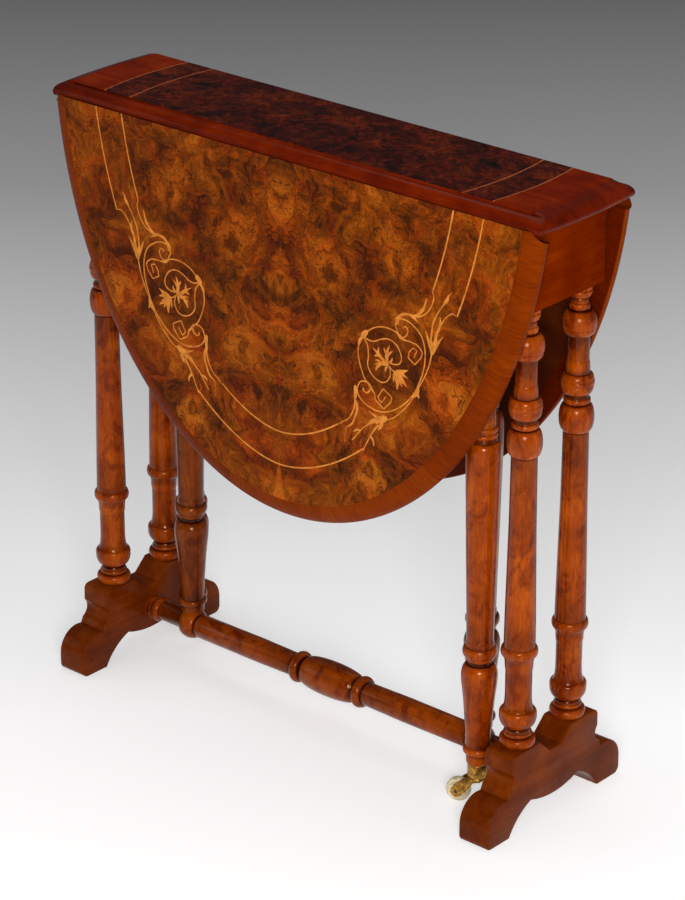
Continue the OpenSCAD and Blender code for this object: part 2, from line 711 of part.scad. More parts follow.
// Hinges: the fixed flap has the outer knuckles and the leaf's flap the middle one
knuckle_l = hinge_l / 3;
knuckle_gap = 0.3;
flap_clear = knuckle_r + 0.2;
module top_flaps() {
    color(brass) difference() {
        at_hinges() {
            translate([-hinge_l / 2, -pin_y + flap_clear, under_z])
                cube([hinge_l, flap_top - flap_clear, flap_t]);
            for (s = [-1, 1]) translate([s * (hinge_l - knuckle_l) / 2, 0, 0]) {
                rod_x(-knuckle_l / 2, knuckle_l / 2, -pin_y, pin_z, knuckle_r);
                translate([-knuckle_l / 2, -pin_y, under_z]) cube([knuckle_l, flap_clear + 1, flap_t]);
            }
        }
        rod_x(-big, big, -pin_y, pin_z, pin_r);
        top_flap_screws();
    }
}
module hinge_pins() { color(iron) at_hinges() rod_x(-hinge_l / 2, hinge_l / 2, -pin_y, pin_z, pin_r); }
module leaf_flaps() {
    middle = knuckle_l - 2 * knuckle_gap;
    color(brass) hang() difference() {
        at_hinges() {
            translate([-hinge_l / 2, flap_clear, -below_pin])
                cube([hinge_l, flap_leaf - flap_clear, flap_t]);
            rod_x(-middle / 2, middle / 2, 0, 0, knuckle_r);
            translate([-middle / 2, 0, -below_pin]) cube([middle, flap_clear + 1, flap_t]);
        }
        rod_x(-big, big, 0, 0, pin_r + pin_fit);
        leaf_screws_plain();
    }
}
module leaf_flap_screws() { color(brass) hang() leaf_screws_plain(); }

// Block under the leaf that the gate's leg comes up against
stop_x = 26;
stop_v = 330;
stop_t = 9;
module leaf_stop() {
    color(walnut) hang() translate([stop_x, stop_v, -below_pin - stop_t]) linear_extrude(stop_t)
        polygon([[0, 0], [14, 0], [14, 34], [4, 34], [0, 30]]);
}

// Drawing each node

top_board();
top_burr_veneer();
top_end_veneers();
top_stringing();
to_back() top_edging();  // top_edging_left
top_edging();  // top_edging_right
to_back() end_rail();  // end_rail_left
end_rail();  // end_rail_right
long_bearer();
glue_blocks();
block_screws();
to_back() foot();  // foot_left
foot();  // foot_right
translate([-frame_x, -column_y, 0]) column();  // column_front_left
translate([-frame_x, column_y, 0]) column();  // column_back_left
translate([frame_x, -column_y, 0]) column();  // column_front_right
translate([frame_x, column_y, 0]) column();  // column_back_right
stretcher();
pivot_pins();  // pivot_pins_front
to_back() pivot_pins();  // pivot_pins_back
pivot_washers();
top_flaps();  // top_flaps_front
to_back() top_flaps();  // top_flaps_back
color(brass) top_flap_screws();  // top_flap_screws_front
to_back() color(brass) top_flap_screws();  // top_flap_screws_back
hinge_pins();  // hinge_pins_front
to_back() hinge_pins();  // hinge_pins_back
leaf_board();  // leaf_board_front
leaf_edging();  // leaf_edging_front
leaf_veneer();  // leaf_veneer_front
leaf_stringing();  // leaf_stringing_front
leaf_flaps();  // leaf_flaps_front
leaf_flap_screws();  // leaf_flap_screws_front
leaf_stop();  // leaf_stop_front
to_back() leaf_board();  // leaf_board_back
to_back() leaf_edging();  // leaf_edging_back
to_back() leaf_veneer();  // leaf_veneer_back
to_back() leaf_stringing();  // leaf_stringing_back
to_back() leaf_flaps();  // leaf_flaps_back
to_back() leaf_flap_screws();  // leaf_flap_screws_back
to_back() leaf_stop();  // leaf_stop_back
gate_post();  // gate_post_front
gate_rail();  // gate_rail_front
gate_leg();  // gate_leg_front
caster_socket();  // caster_socket_front
to_back_gate() gate_post();  // gate_post_back
to_back_gate() gate_rail();  // gate_rail_back
to_back_gate() gate_leg();  // gate_leg_back
to_back_gate() caster_socket();  // caster_socket_back
caster_horn();  // caster_horn_front
caster_axle();  // caster_axle_front
caster_wheel();  // caster_wheel_front
to_back_caster() caster_horn();  // caster_horn_back
to_back_caster() caster_axle();  // caster_axle_back
to_back_caster() caster_wheel();  // caster_wheel_back
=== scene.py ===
# %% [markdown]
# # A walnut sutherland table
# The real table is Victorian: a narrow fixed top on two turned trestle ends, two oval leaves that hang
# at its sides, and a gate under each leaf that swings out to carry it. Everything that shows is polished
# walnut, plain or burr, with pale lines and scrolls let into the veneer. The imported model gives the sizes
# and the places. This file adds what a maker's hand and a polisher's rubber add: smooth turning,
# figured veneer, marquetry, worn brass, and the light of a small studio.

import json
import math

import bmesh
import bpy
import numpy as np
from mathutils import Matrix


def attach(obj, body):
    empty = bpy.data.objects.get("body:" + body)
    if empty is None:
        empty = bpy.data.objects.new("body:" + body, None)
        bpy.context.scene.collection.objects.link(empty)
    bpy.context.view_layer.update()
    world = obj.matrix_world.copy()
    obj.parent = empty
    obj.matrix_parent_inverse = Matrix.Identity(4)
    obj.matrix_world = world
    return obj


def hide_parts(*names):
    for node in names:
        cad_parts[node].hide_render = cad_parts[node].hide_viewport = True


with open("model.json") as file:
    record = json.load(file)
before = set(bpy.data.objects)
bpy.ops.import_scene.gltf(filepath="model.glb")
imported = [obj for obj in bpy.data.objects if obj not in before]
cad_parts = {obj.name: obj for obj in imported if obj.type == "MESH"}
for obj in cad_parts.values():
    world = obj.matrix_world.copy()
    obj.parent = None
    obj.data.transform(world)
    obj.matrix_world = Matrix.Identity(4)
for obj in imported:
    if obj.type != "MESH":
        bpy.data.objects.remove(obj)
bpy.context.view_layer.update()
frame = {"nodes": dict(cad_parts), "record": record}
NODES = frame["nodes"]
MM = 0.001
print("pieces in the packed model:", len(NODES))

# %% [markdown]
# The sizes below are the ones that the table was built to, in millimetres. They are repeated here because
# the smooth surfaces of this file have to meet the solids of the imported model.

# %% Sizes of the table
# half the length and half the width of the open top
OVAL_A, OVAL_B = 341.0, 468.5
# the hinge pin from the middle and from the floor, the leaf's underside below it and its face above it
PIN_Y, PIN_Z, BELOW_PIN, FACE_W = 65.0, 685.0, 2.0, 15.0
# the leaf's upper edge from the pin, the hollow of the rule joint, and how far a leaf hangs off plumb
LIP, HOLLOW, LEAN = 0.3, 12.4, math.radians(1.0)
EDGE_W, BOARD = 22.0, 17.0
# the end frames: their place, the thickness of rail and foot, the seats of the columns, the rail's height
FRAME_X, FRAME_T, FOOT_T, FOOT_H, COLUMN_Y, RAIL_Z, UNDER_Z = 297.0, 34.0, 38.0, 95.0, 43.2, 590.0, 683.0
# the stretcher's axis, the flats that the gates stand on, and the gates' pivots and legs
STRETCHER_Z, SEAT_Z, PIVOT_X, LEG_X, LEG_Y, BACK_LEG_Y = 50.0, 67.0, 213.0, 242.0, 40.0, 32.05
GATE_TURN = math.atan2(LEG_Y, PIVOT_X + LEG_X)
GATE_L = math.hypot(PIVOT_X + LEG_X, LEG_Y)
# the square blocks of post and leg, where their turning starts, and the gate rail
BLOCK, BLOCK_Z, POST_TOP, LEG_TOP = 30.0, 548.0, 627.7, 682.7
POST_Z, LEG_Z = 68.3, 50.0
GATE_T, GATE_Z, GATE_D = 20.0, 572.0, 45.0
SIDES, ENDS = {"front": 1, "back": -1}, {"left": -1, "right": 1}
print("open top:", 2 * OVAL_A, "by", 2 * OVAL_B, "mm; gate:", round(GATE_L, 1), "mm from pivot to leg")

# %% [markdown]
# ## Surfaces from arrays
# Nearly every piece here is a closed section carried along a path: round sections for turned work, the
# section of a moulding for the edging, a thin flat one for inlay. One helper joins neighbouring sections
# with four-sided faces and closes both ends, another puts the arrays into a mesh. Building whole arrays
# at once keeps the code short and fast, and the same helper then serves every piece.

# %% Sections joined into a closed skin
def skin(rows):
    """Joins rows[i, j], the j-th point of the i-th closed section: each face has the corners
    (i, j), (i, j + 1), (i + 1, j + 1), (i + 1, j), and one face closes each end."""
    m, n = rows.shape[:2]
    i, j = np.meshgrid(np.arange(m - 1), np.arange(n), indexing="ij")
    k = (j + 1) % n
    quads = np.stack([i * n + j, i * n + k, (i + 1) * n + k, (i + 1) * n + j], -1).reshape(-1, 4)
    ends = [np.arange(n)[::-1], (m - 1) * n + np.arange(n)]
    return rows.reshape(-1, 3), quads.tolist() + [e.tolist() for e in ends]


def volume(points, faces):
    """Six times the enclosed volume: the sum of (b x c) . a over the triangles a, b, c of each face's fan."""
    tris = np.array([(f[0], f[k], f[k + 1]) for f in faces for k in range(1, len(f) - 1)])
    a, b, c = (points[tris[:, k]] for k in range(3))
    return float(np.einsum("ij,ij->i", np.cross(b, c), a).sum())


def outward(points, faces):
    """Turns every face round where the enclosed volume comes out negative."""
    middle = points - points.mean(0)
    return points, faces if volume(middle, faces) > 0 else [f[::-1] for f in faces]


print("faces of a square bar made of two sections:", len(skin(np.zeros((2, 4, 3)))[1]))

# %% [markdown]
# A piece is smooth where its faces meet at a small angle, and keeps a crease where they meet at a larger
# one. Each piece is told which body of the imported model it rides on, which solids it stands for, and its
# finish, so that it moves with that body and the solids it stands for are hidden.

# %% Arrays put into a mesh object
def link(name, data):
    """A new object in the scene."""
    item = bpy.data.objects.new(name, data)
    bpy.context.scene.collection.objects.link(item)
    return item


def enter(name, mesh, material, body, replaces, crease):
    """Makes a mesh a piece of the table, smooth across every edge that turns by less than crease degrees."""
    mesh.shade_smooth()
    mesh.set_sharp_from_angle(angle=math.radians(crease))
    mesh.materials.append(material)
    piece = link(name, mesh)
    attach(piece, body)
    if replaces:
        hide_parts(*replaces)


def build(name, parts, material, body, replaces, crease=33, marks=None, maps=None):
    """Puts one or more closed shells (points in millimetres, faces) into one piece. marks are values by
    point, maps are flat coordinates by point for a pattern that follows the surface."""
    shells = [outward(p, f) for p, f in parts]
    starts = np.cumsum([0] + [len(p) for p, _ in shells])
    points = np.concatenate([p for p, _ in shells])
    faces = [[v + s for v in f] for (_, fs), s in zip(shells, starts.tolist()) for f in fs]
    mesh = bpy.data.meshes.new(name)
    mesh.from_pydata((points * MM).tolist(), [], faces)
    for key, values in (marks or {}).items():
        mesh.attributes.new(key, "FLOAT", "POINT").data.foreach_set("value", values.astype(np.float32))
    if maps is not None:
        corner = np.zeros(len(mesh.loops), np.int32)
        mesh.loops.foreach_get("vertex_index", corner)
        mesh.uv_layers.new(name="surface").data.foreach_set("uv", maps[corner].astype(np.float32).ravel())
    enter(name, mesh, material, body, replaces, crease)


# %% [markdown]
# ## Finishes
# Colours are written as the eye reads them, from 0 to 255, and turned into the linear values that the
# shader wants. Each finish is a small graph of nodes. A helper that makes a node, sets its values and
# plugs in its links keeps every finish down to the few lines that say what the wood or metal looks like.

# %% Helpers for finishes
WHITE = (1.0, 1.0, 1.0, 1.0)


def tint(r, g, b):
    """Screen colour to linear: (c / 255) to the power 2.2, near enough to the sRGB curve for wood."""
    return tuple((np.array([r, g, b]) / 255.0) ** 2.2) + (1.0,)


def grey(value):
    """The linear grey of that value."""
    return (value, value, value, 1.0)


def add(tree, kind, values=None, links=None, **settings):
    """One node of the graph, with its settings, its own values, and links from other nodes' outputs."""
    n = tree.nodes.new("ShaderNode" + kind)
    for key, value in settings.items():
        setattr(n, key, value)
    for key, value in (values or {}).items():
        n.inputs[key].default_value = value
    for key, source in (links or {}).items():
        tree.links.new(source, n.inputs[key])
    return n


def fill(tree, n, inputs):
    """Sets each numbered input of a node to a value, or links it to another node's output."""
    for key, v in inputs:
        if isinstance(v, (int, float, tuple)):
            n.inputs[key].default_value = v
        else:
            tree.links.new(v, n.inputs[key])


def ramp(tree, source, stops):
    """A colour ramp through (place, colour) stops. Three numbers are a screen colour, four a linear one."""
    n = add(tree, "ValToRGB", links={"Fac": source})
    while len(n.color_ramp.elements) < len(stops):
        n.color_ramp.elements.new(0.5)
    for element, (place, colour) in zip(n.color_ramp.elements, stops):
        element.position, element.color = place, colour if len(colour) == 4 else tint(*colour)
    return n.outputs["Color"]


def sums(tree, kind, a, b=0.0):
    """Arithmetic on two values, each a number or a node's output."""
    n = add(tree, "Math", operation=kind)
    fill(tree, n, enumerate((a, b)))
    return n.outputs[0]


def total(tree, *shares):
    """The sum of value times share over pairs of a value and its share."""
    result = None
    for value, share in shares:
        part = sums(tree, "MULTIPLY", value, share)
        result = part if result is None else sums(tree, "ADD", result, part)
    return result


def vectors(tree, kind, links, values=None, out=0):
    """Arithmetic on vectors; out picks the node's output, 1 for a length."""
    return add(tree, "VectorMath", values, links, operation=kind).outputs[out]


def veiled(tree, colour, veil, share=1.0):
    """A colour under a thin glaze: colour x (1 - share + share x veil)."""
    n = add(tree, "Mix", data_type="RGBA", blend_type="MULTIPLY")
    fill(tree, n, ((0, share), (6, colour), (7, veil)))
    return n.outputs[2]


def marked(tree, name):
    """The value by point that a piece carries under that name."""
    return add(tree, "Attribute", attribute_name=name).outputs["Fac"]


def noise(tree, coords, scale, detail=4.0, rough=0.55, distort=0.0, stretch=(1, 1, 1), shift=(0, 0, 0)):
    """Cloudy noise of the given scale, per metre, with the pattern stretched and moved first."""
    m = add(tree, "Mapping", {"Scale": stretch, "Location": shift}, {"Vector": coords})
    values = {"Scale": scale, "Detail": detail, "Roughness": rough, "Distortion": distort}
    return add(tree, "TexNoise", values, {"Vector": m.outputs[0]}).outputs["Fac"]


print("mid walnut in linear values:", [round(float(c), 3) for c in tint(145, 60, 5)])

# %% [markdown]
# Every finish starts from the same shader and ends in its colour, its roughness and a shallow relief. French
# polish is a thin clear coat over the colour. Old shellac is amber and not as bright as lacquer, so the
# sheen under the coat is warm and weak.

# %% What every finish shares
AMBER = (1.0, 0.5, 0.26, 1.0)


def finish(name, gloss=0.3, coat=0.1, coat_gloss=0.1, metal=0.0, sheen=0.08):
    """A new material and its shader, with its gloss, the polish over it and the sheen under that."""
    material = bpy.data.materials.new(name)
    material.use_nodes = True
    shader = material.node_tree.nodes["Principled BSDF"]
    values = {"Roughness": gloss, "Metallic": metal, "Coat Weight": coat, "Coat Roughness": coat_gloss}
    if not metal:
        values |= {"Specular IOR Level": sheen, "Specular Tint": AMBER}
    for key, value in values.items():
        shader.inputs[key].default_value = value
    return material, material.node_tree, shader


def colour_in(tree, shader, colour):
    """Plugs the finished colour into the shader."""
    tree.links.new(colour, shader.inputs["Base Color"])


def rough_in(tree, shader, tone, stops):
    """Roughness that follows a tone, through (place, roughness) stops."""
    rough = ramp(tree, tone, [(place, grey(value)) for place, value in stops])
    tree.links.new(rough, shader.inputs["Roughness"])


def relief(tree, shader, height, strength, depth=0.0002):
    """Shallow relief from a height, in metres of depth."""
    bump = add(tree, "Bump", {"Strength": strength, "Distance": depth}, {"Height": height})
    tree.links.new(bump.outputs[0], shader.inputs["Normal"])


def object_coords(tree):
    """Metres from the table's own origin, so that a pattern stays on its piece."""
    return add(tree, "TexCoord").outputs["Object"]


print("tint of the sheen:", AMBER[:3])

# %% [markdown]
# ### Plain walnut
# Walnut shows long fine streaks and short dark pores that both run with the grain, over slow changes of
# tone from heartwood to sapwood. Three noises stretched along the grain and one that isn't give these.
# Turned pieces carry a value named hollow that darkens their necks and quirks: this is painted shade, deepest
# where a neck sinks under the swellings beside it. The old stain has also gone patchy on them, which one
# more noise gives.

# %% Plain walnut
def walnut(name, grain, stops, hollow=False, gloss=0.26, coat=0.04, sheen=0.08):
    """grain is the stretch of the pattern, small along the grain; stops are its dark, middle and light. The
    tone is 0.3 x fine + 0.3 x broad + 0.4 x cloud."""
    material, tree, shader = finish(name, gloss, coat, sheen=sheen)
    place = object_coords(tree)
    fine = noise(tree, place, 520, 5, 0.6, 0.2, grain)
    broad = noise(tree, place, 38, 3, 0.5, 1.2, grain, (3, 1, 2))
    cloud = noise(tree, place, 22, 3, 0.5, 0.4, shift=(7, 5, 3))
    tone = total(tree, (fine, 0.3), (broad, 0.3), (cloud, 0.4))
    colour = ramp(tree, tone, list(zip((0.3, 0.5, 0.68), stops)))
    pores = noise(tree, place, 1500, 2, 0.5, 0.0, grain, (11, 4, 6))
    colour = veiled(tree, colour, ramp(tree, pores, [(0.30, grey(0.35)), (0.38, WHITE)]), 0.5)
    if hollow:
        # painted shade: the colour darkened in the necks and quirks by the value hollow
        colour = veiled(tree, colour, tint(84, 48, 34), marked(tree, "hollow"))
        stain = noise(tree, place, 52, 6, 0.68, 0.9, (1, 1, 0.6), (2, 8, 6))
        colour = veiled(tree, colour, ramp(tree, stain, [(0.38, (190, 158, 140)), (0.52, WHITE)]))
    colour_in(tree, shader, colour)
    relief(tree, shader, fine, 0.06)
    rough_in(tree, shader, noise(tree, place, 60, 3), [(0.35, gloss - 0.06), (0.7, gloss + 0.1)])
    return material


ALONG_X, ALONG_Y, ALONG_Z = (0.06, 1, 1), (1, 0.06, 1), (1, 1, 0.10)
# the turned woods carry painted shade in their necks, and patchy stain
TURNED = dict(hollow=True, gloss=0.21, coat=0.05, sheen=0.3)
turned_up = walnut("walnut_turned", ALONG_Z, ((98, 35, 1), (154, 63, 3), (198, 96, 17)), **TURNED)
# the posts darker than the columns, partly their own tone and partly painted shade for the leaves' shade on
# them
turned_post_shaded = walnut("walnut_posts_shaded", ALONG_Z, ((76, 29, 2), (114, 48, 4), (148, 72, 14)), **TURNED)
turned_across = walnut("walnut_stretcher", ALONG_X, ((102, 39, 3), (147, 63, 9), (174, 85, 23)), **TURNED)
foot_wood = walnut("walnut_feet", ALONG_Y, ((70, 25, 3), (110, 46, 8), (138, 65, 16)))
rail_wood = walnut("walnut_rails", ALONG_Y, ((88, 26, 0), (120, 40, 1), (144, 56, 6)), coat=0.0, sheen=0.0)
gate_wood = walnut("walnut_gate_rails", ALONG_X, ((90, 34, 8), (138, 58, 16), (166, 78, 26)))
top_edge_wood = walnut("walnut_top_edge", ALONG_X, ((62, 13, 0), (102, 28, 2), (130, 42, 5)))
# unpolished inner wood, made darker still as painted shade for the shade under the top
inner_wood_shaded = walnut("walnut_inner_shaded", ALONG_X, ((48, 18, 7), (68, 28, 11), (88, 40, 17)), gloss=0.5, coat=0.0)
print("plain walnut finishes ready:", len(bpy.data.materials))

# %% [markdown]
# ### The edging
# The moulded edging is cut with its grain across the band, in lengths butted end to end, so it shows fine
# short streaks square to the edge and a small change of tone at each joint. Its pattern follows the band, so
# it reads the piece's own flat coordinates: metres along the band, and metres across it. A value named under
# darkens the flat underside.

# %% The edging's finish
LENGTH = 0.16


def edging_finish(name):
    """The tone is 0.55 x streaks + 0.3 x broad + 0.15 x a random value for each length of the band."""
    material, tree, shader = finish(name, 0.36, 0.0, sheen=0.05)
    place = add(tree, "UVMap", uv_map="surface").outputs[0]
    streaks = noise(tree, place, 420, 4, 0.6, 0.4, (1, 0.09, 1))
    broad = noise(tree, place, 30, 3, 0.5, 0.6, (1, 0.4, 1), (2, 5, 0))
    along = add(tree, "SeparateXYZ", links={"Vector": place}).outputs[0]
    count = sums(tree, "DIVIDE", along, LENGTH)
    own = add(tree, "TexWhiteNoise", noise_dimensions="1D", links={"W": sums(tree, "FLOOR", count)})
    tone = total(tree, (streaks, 0.55), (broad, 0.3), (own.outputs["Value"], 0.15))
    colour = ramp(tree, tone, [(0.3, (92, 34, 2)), (0.5, (120, 47, 4)), (0.7, (143, 63, 10))])
    joint = ramp(tree, sums(tree, "FRACT", count), [(0.0, (0.35, 0.3, 0.3, 1)), (0.006, WHITE)])
    colour = veiled(tree, colour, joint)
    # the flat underside darker, by the value under
    colour_in(tree, shader, veiled(tree, colour, tint(176, 138, 120), marked(tree, "under")))
    relief(tree, shader, streaks, 0.05)
    return material


edging = edging_finish("walnut_edging")
print("lengths of edging are", LENGTH, "m")

# %% [markdown]
# ### Burr walnut
# A burr grows as many small buds crowded together, so its veneer shows soft clouds of light and dark,
# fine dark lines that wind like the contours of a map, and here and there an eye with a ring round it.
# Two leaves of veneer cut one after the other are opened like a book, so the figure repeats in a mirror at
# the seam down the middle. The pattern is made the same way: the distance from the seam stands for x, the
# plane is bent by noises, and clouds, contours and eyes are drawn on the bent plane. Each eye is a
# place and a radius in metres, x from the seam and y down from the hinge.

# %% Bent planes, contour lines and eyes
EYES = [
    (0.050, 0.215, 0.048), (0.066, 0.106, 0.046), (0.002, 0.044, 0.036), (0.157, 0.066, 0.032),
    (0.000, 0.130, 0.020), (0.002, 0.176, 0.020), (0.225, 0.200, 0.034), (0.128, 0.318, 0.034),
]
SHADE = (0.1505, 0.187, 0.058)
FAN_TOP = 0.335
THREAD = 0.11


def bent(tree, flat, moves):
    """The plane moved by noise: for each (scale, reach) it adds (the noise's colour - a half) x reach."""
    for scale, reach in moves:
        source = add(tree, "TexNoise", {"Scale": scale, "Detail": 2.0, "Roughness": 0.5}, {"Vector": flat})
        off = vectors(tree, "SUBTRACT", {0: source.outputs["Color"]}, {1: (0.5, 0.5, 0.5)})
        flat = vectors(tree, "ADD", {0: flat, 1: vectors(tree, "SCALE", {0: off}, {"Scale": reach})})
    return flat


def mapped(tree, value, start, end, low=0.0, high=1.0):
    """A value carried smoothly from the span start to end onto the span low to high, and held there."""
    return add(tree, "MapRange", {1: start, 2: end, 3: low, 4: high}, {0: value},
               interpolation_type="SMOOTHSTEP").outputs[0]


def aside(tree, value, centre):
    """How far a value lies from a centre."""
    return sums(tree, "ABSOLUTE", sums(tree, "SUBTRACT", value, centre))


def contours(tree, height, count):
    """1 on the thin contour lines of a height and 0 between them: how far the fraction of count times the
    height lies from a half, against THREAD."""
    level = sums(tree, "FRACT", sums(tree, "MULTIPLY", height, count))
    return mapped(tree, aside(tree, level, 0.5), 0.0, THREAD, 1.0, 0.0)


def nearest(tree, plane, spots):
    """Distance from the nearest of the spots (x, y, r), as a share of that spot's r."""
    near = None
    for x, y, r in spots:
        d = sums(tree, "DIVIDE", vectors(tree, "DISTANCE", {0: plane}, {1: (x, y, 0)}, 1), r)
        near = d if near is None else sums(tree, "MINIMUM", near, d)
    return near


print("eyes of the burr on each half of a leaf:", len(EYES))

# %% [markdown]
# The tone of the burr is a sum of four noises from coarse to fine. Eyes, the dark ground of the cartouche
# and the pale fan at the foot of the seam raise or lower it. The hue wanders between green and red, and
# threads and pips are laid over it as darker veils.

# %% Burr walnut
def eyed(tree, tone, thread, side, drop, flat, swirl, mottle):
    """Adds the eyes to the tone and their rings to the threads: near is 1 on the rim of an eye, 0 in it."""
    plane = bent(tree, flat, ((17.0, 0.034), (60.0, 0.020), (170.0, 0.007)))
    plane = vectors(tree, "MULTIPLY", {0: plane}, {1: (1, 1, 0)})
    near, dark = nearest(tree, plane, EYES), nearest(tree, plane, [SHADE])
    down = sums(tree, "MAXIMUM", sums(tree, "SUBTRACT", drop, FAN_TOP), 0.0005)
    for value, start, end, most in (
        (near, 0.3, 1.0, 0.080), (near, 0.12, 0.34, -0.06), (dark, 0.5, 1.1, -0.055),
        (aside(tree, near, 1.25), 0.0, 0.4, -0.03), (sums(tree, "DIVIDE", side, down), 0.10, 0.24, 0.12),
    ):
        tone = sums(tree, "ADD", tone, mapped(tree, value, start, end, most, 0.0))
    rings = contours(tree, sums(tree, "ADD", near, sums(tree, "MULTIPLY", swirl, 1.4)), 1.9)
    rings = sums(tree, "MULTIPLY", rings, mapped(tree, near, 1.3, 1.7, 1.0, 0.0))
    rings = sums(tree, "MULTIPLY", rings, mapped(tree, mottle, 0.40, 0.50))
    return tone, sums(tree, "MAXIMUM", thread, rings)


def burr(name, stops, across, down, top=0.0, eyes=True, size=1.0, lines=0.9):
    """across and down name the axes of the sheet; top is where down starts; size scales the clouds."""
    material, tree, shader = finish(name, 0.3, 0.04, sheen=0.05)
    xyz = add(tree, "SeparateXYZ", links={"Vector": object_coords(tree)})
    side = sums(tree, "ABSOLUTE", xyz.outputs[across])
    drop = sums(tree, "SUBTRACT", top, xyz.outputs[down])
    flat = add(tree, "CombineXYZ", links={"X": side, "Y": drop}).outputs[0]
    moves = ((11.0, 0.064), (36.0, 0.031), (140.0, 0.009))
    place = bent(tree, flat, [(scale / size, reach * size) for scale, reach in moves])
    cloud = noise(tree, place, 12 / size, 3, 0.5, 0.8)
    swirl = noise(tree, place, 34 / size, 4, 0.6, 1.4, shift=(5, 2, 1))
    mottle = noise(tree, place, 120 / size, 5, 0.62, 1.0, shift=(2, 7, 3))
    speck = noise(tree, flat, 520 / size, 3, 0.55, 0.6, shift=(9, 1, 4))
    tone = total(tree, (cloud, 0.32), (swirl, 0.36), (mottle, 0.25), (speck, 0.07))
    thread = sums(tree, "MULTIPLY", contours(tree, swirl, 10), mapped(tree, mottle, 0.44, 0.54))
    if eyes:
        tone, thread = eyed(tree, tone, thread, side, drop, flat, swirl, mottle)
    hue = noise(tree, place, 22 / size, 3, 0.6, 1.0, shift=(4, 9, 6))
    colour = ramp(tree, tone, stops)
    colour = veiled(tree, colour, tint(222, 246, 214), mapped(tree, hue, 0.47, 0.57, 0.0, 0.6))
    colour = veiled(tree, colour, tint(250, 214, 180), mapped(tree, hue, 0.38, 0.47, 0.8, 0.0))
    colour = veiled(tree, colour, tint(112, 96, 84), sums(tree, "MULTIPLY", thread, lines))
    colour = veiled(tree, colour, tint(120, 94, 80), mapped(tree, speck, 0.34, 0.43, 0.5, 0.0))
    colour_in(tree, shader, colour)
    relief(tree, shader, mottle, 0.04)
    return material


LEAF_STOPS = [(0.40, (74, 33, 4)), (0.455, (104, 47, 6)), (0.50, (130, 58, 8)), (0.55, (154, 73, 13)),
              (0.63, (190, 97, 28))]
TOP_STOPS = [(0.40, (20, 4, 1)), (0.46, (52, 13, 2)), (0.52, (84, 25, 4)), (0.60, (128, 48, 12))]
leaf_burr = burr("burr_walnut_leaf", LEAF_STOPS, "X", "Z", top=0.685)
top_burr = burr("burr_walnut_top", TOP_STOPS, "X", "Y", eyes=False, size=0.5, lines=0.4)
end_panels = walnut("walnut_end_panels", ALONG_X, ((88, 20, 0), (124, 35, 1), (156, 56, 8)), coat=0.0,
                    sheen=0.02)
print("nodes in the leaf's burr:", len(leaf_burr.node_tree.nodes))

# %% [markdown]
# ### Pale inlay, brass, iron and glazed ceramic
# The lines and scrolls are boxwood, which age and polish have turned to a clear orange tan. The brass has a
# brown film in its hollows and a brighter bloom where it is touched. The wheels are glazed ceramic, cream
# with a web of fine stains.

# %% Other finishes
def clouded(name, stops, pattern, bump, depth=0.0002, worn=0.0, **surface):
    """A colour ramp over one cloudy noise, relief from the same noise, and where worn isn't 0 a surface that
    is rougher by worn in the film than where it is bright."""
    material, tree, shader = finish(name, **surface)
    tone = noise(tree, object_coords(tree), *pattern)
    colour_in(tree, shader, ramp(tree, tone, stops))
    relief(tree, shader, tone, bump, depth)
    if worn:
        rough_in(tree, shader, tone, [(0.3, surface["gloss"] + worn), (0.7, surface["gloss"])])
    return material


BOX, METAL = dict(pattern=(160, 5, 0.6), bump=0.05, depth=0.0001, gloss=0.34), (260, 6, 0.65, 0.5)
leaf_line = clouded("boxwood_leaf", [(0.3, (186, 104, 36)), (0.65, (232, 146, 62))], **BOX)
top_line = clouded("boxwood_top", [(0.3, (150, 70, 40)), (0.65, (190, 104, 64))], **BOX)
brass = clouded("brass_aged", [(0.35, (110, 72, 28)), (0.62, (196, 148, 72))], METAL, 0.15, worn=0.2,
                gloss=0.28, coat=0.0, metal=1.0)
iron = clouded("iron_dark", [(0.35, (52, 46, 40)), (0.62, (104, 96, 88))], METAL, 0.15, worn=0.2,
               gloss=0.42, coat=0.0, metal=1.0)
ceramic = clouded("ceramic_glazed", [(0.3, (176, 150, 104)), (0.5, (228, 214, 178)), (0.7, (244, 236, 210))],
                  (220, 5, 0.6, 0.8), 0.04, gloss=0.25, coat=0.5, coat_gloss=0.06, sheen=0.4)
print("finishes:", len(bpy.data.materials))

# %% [markdown]
# ## Turned work
# A turner cuts beads, hollows and long tapers into a spinning square. On paper that is a list of radii
# and heights, and carried round the axis it is the finished leg. Beads and hollows are quarter and half
# waves between two radii, so the outline is written in the turner's own words.

# %% The turner's outlines
STEPS = np.linspace(0, 1, 13)
ROUND = 72


def ring(z, inner, r, half):
    """A rounded ring: radius inner + (r - inner) cos t, height z + half sin t, t from -90 to 90 degrees."""
    t = (STEPS - 0.5) * np.pi
    return np.stack([inner + (r - inner) * np.cos(t), z + half * np.sin(t)], 1)


def sweep_up(z0, r0, z1, r1):
    """A quarter wave that starts steeply: radius r0 + (r1 - r0)(1 - cos t), height z0 + (z1 - z0) sin t."""
    t = STEPS * np.pi / 2
    return np.stack([r0 + (r1 - r0) * (1 - np.cos(t)), z0 + (z1 - z0) * np.sin(t)], 1)


def sweep_out(z0, r0, z1, r1):
    """One that ends steeply: radius r0 + (r1 - r0) sin t, height z0 + (z1 - z0)(1 - cos t)."""
    t = STEPS * np.pi / 2
    return np.stack([r0 + (r1 - r0) * np.sin(t), z0 + (z1 - z0) * (1 - np.cos(t))], 1)


def plain(*pairs):
    """Straight cuts between (radius, height) pairs."""
    return np.array(pairs, float)


print("a bead 10 mm high and 5 mm proud has", len(ring(0, 10, 15, 5)), "points")
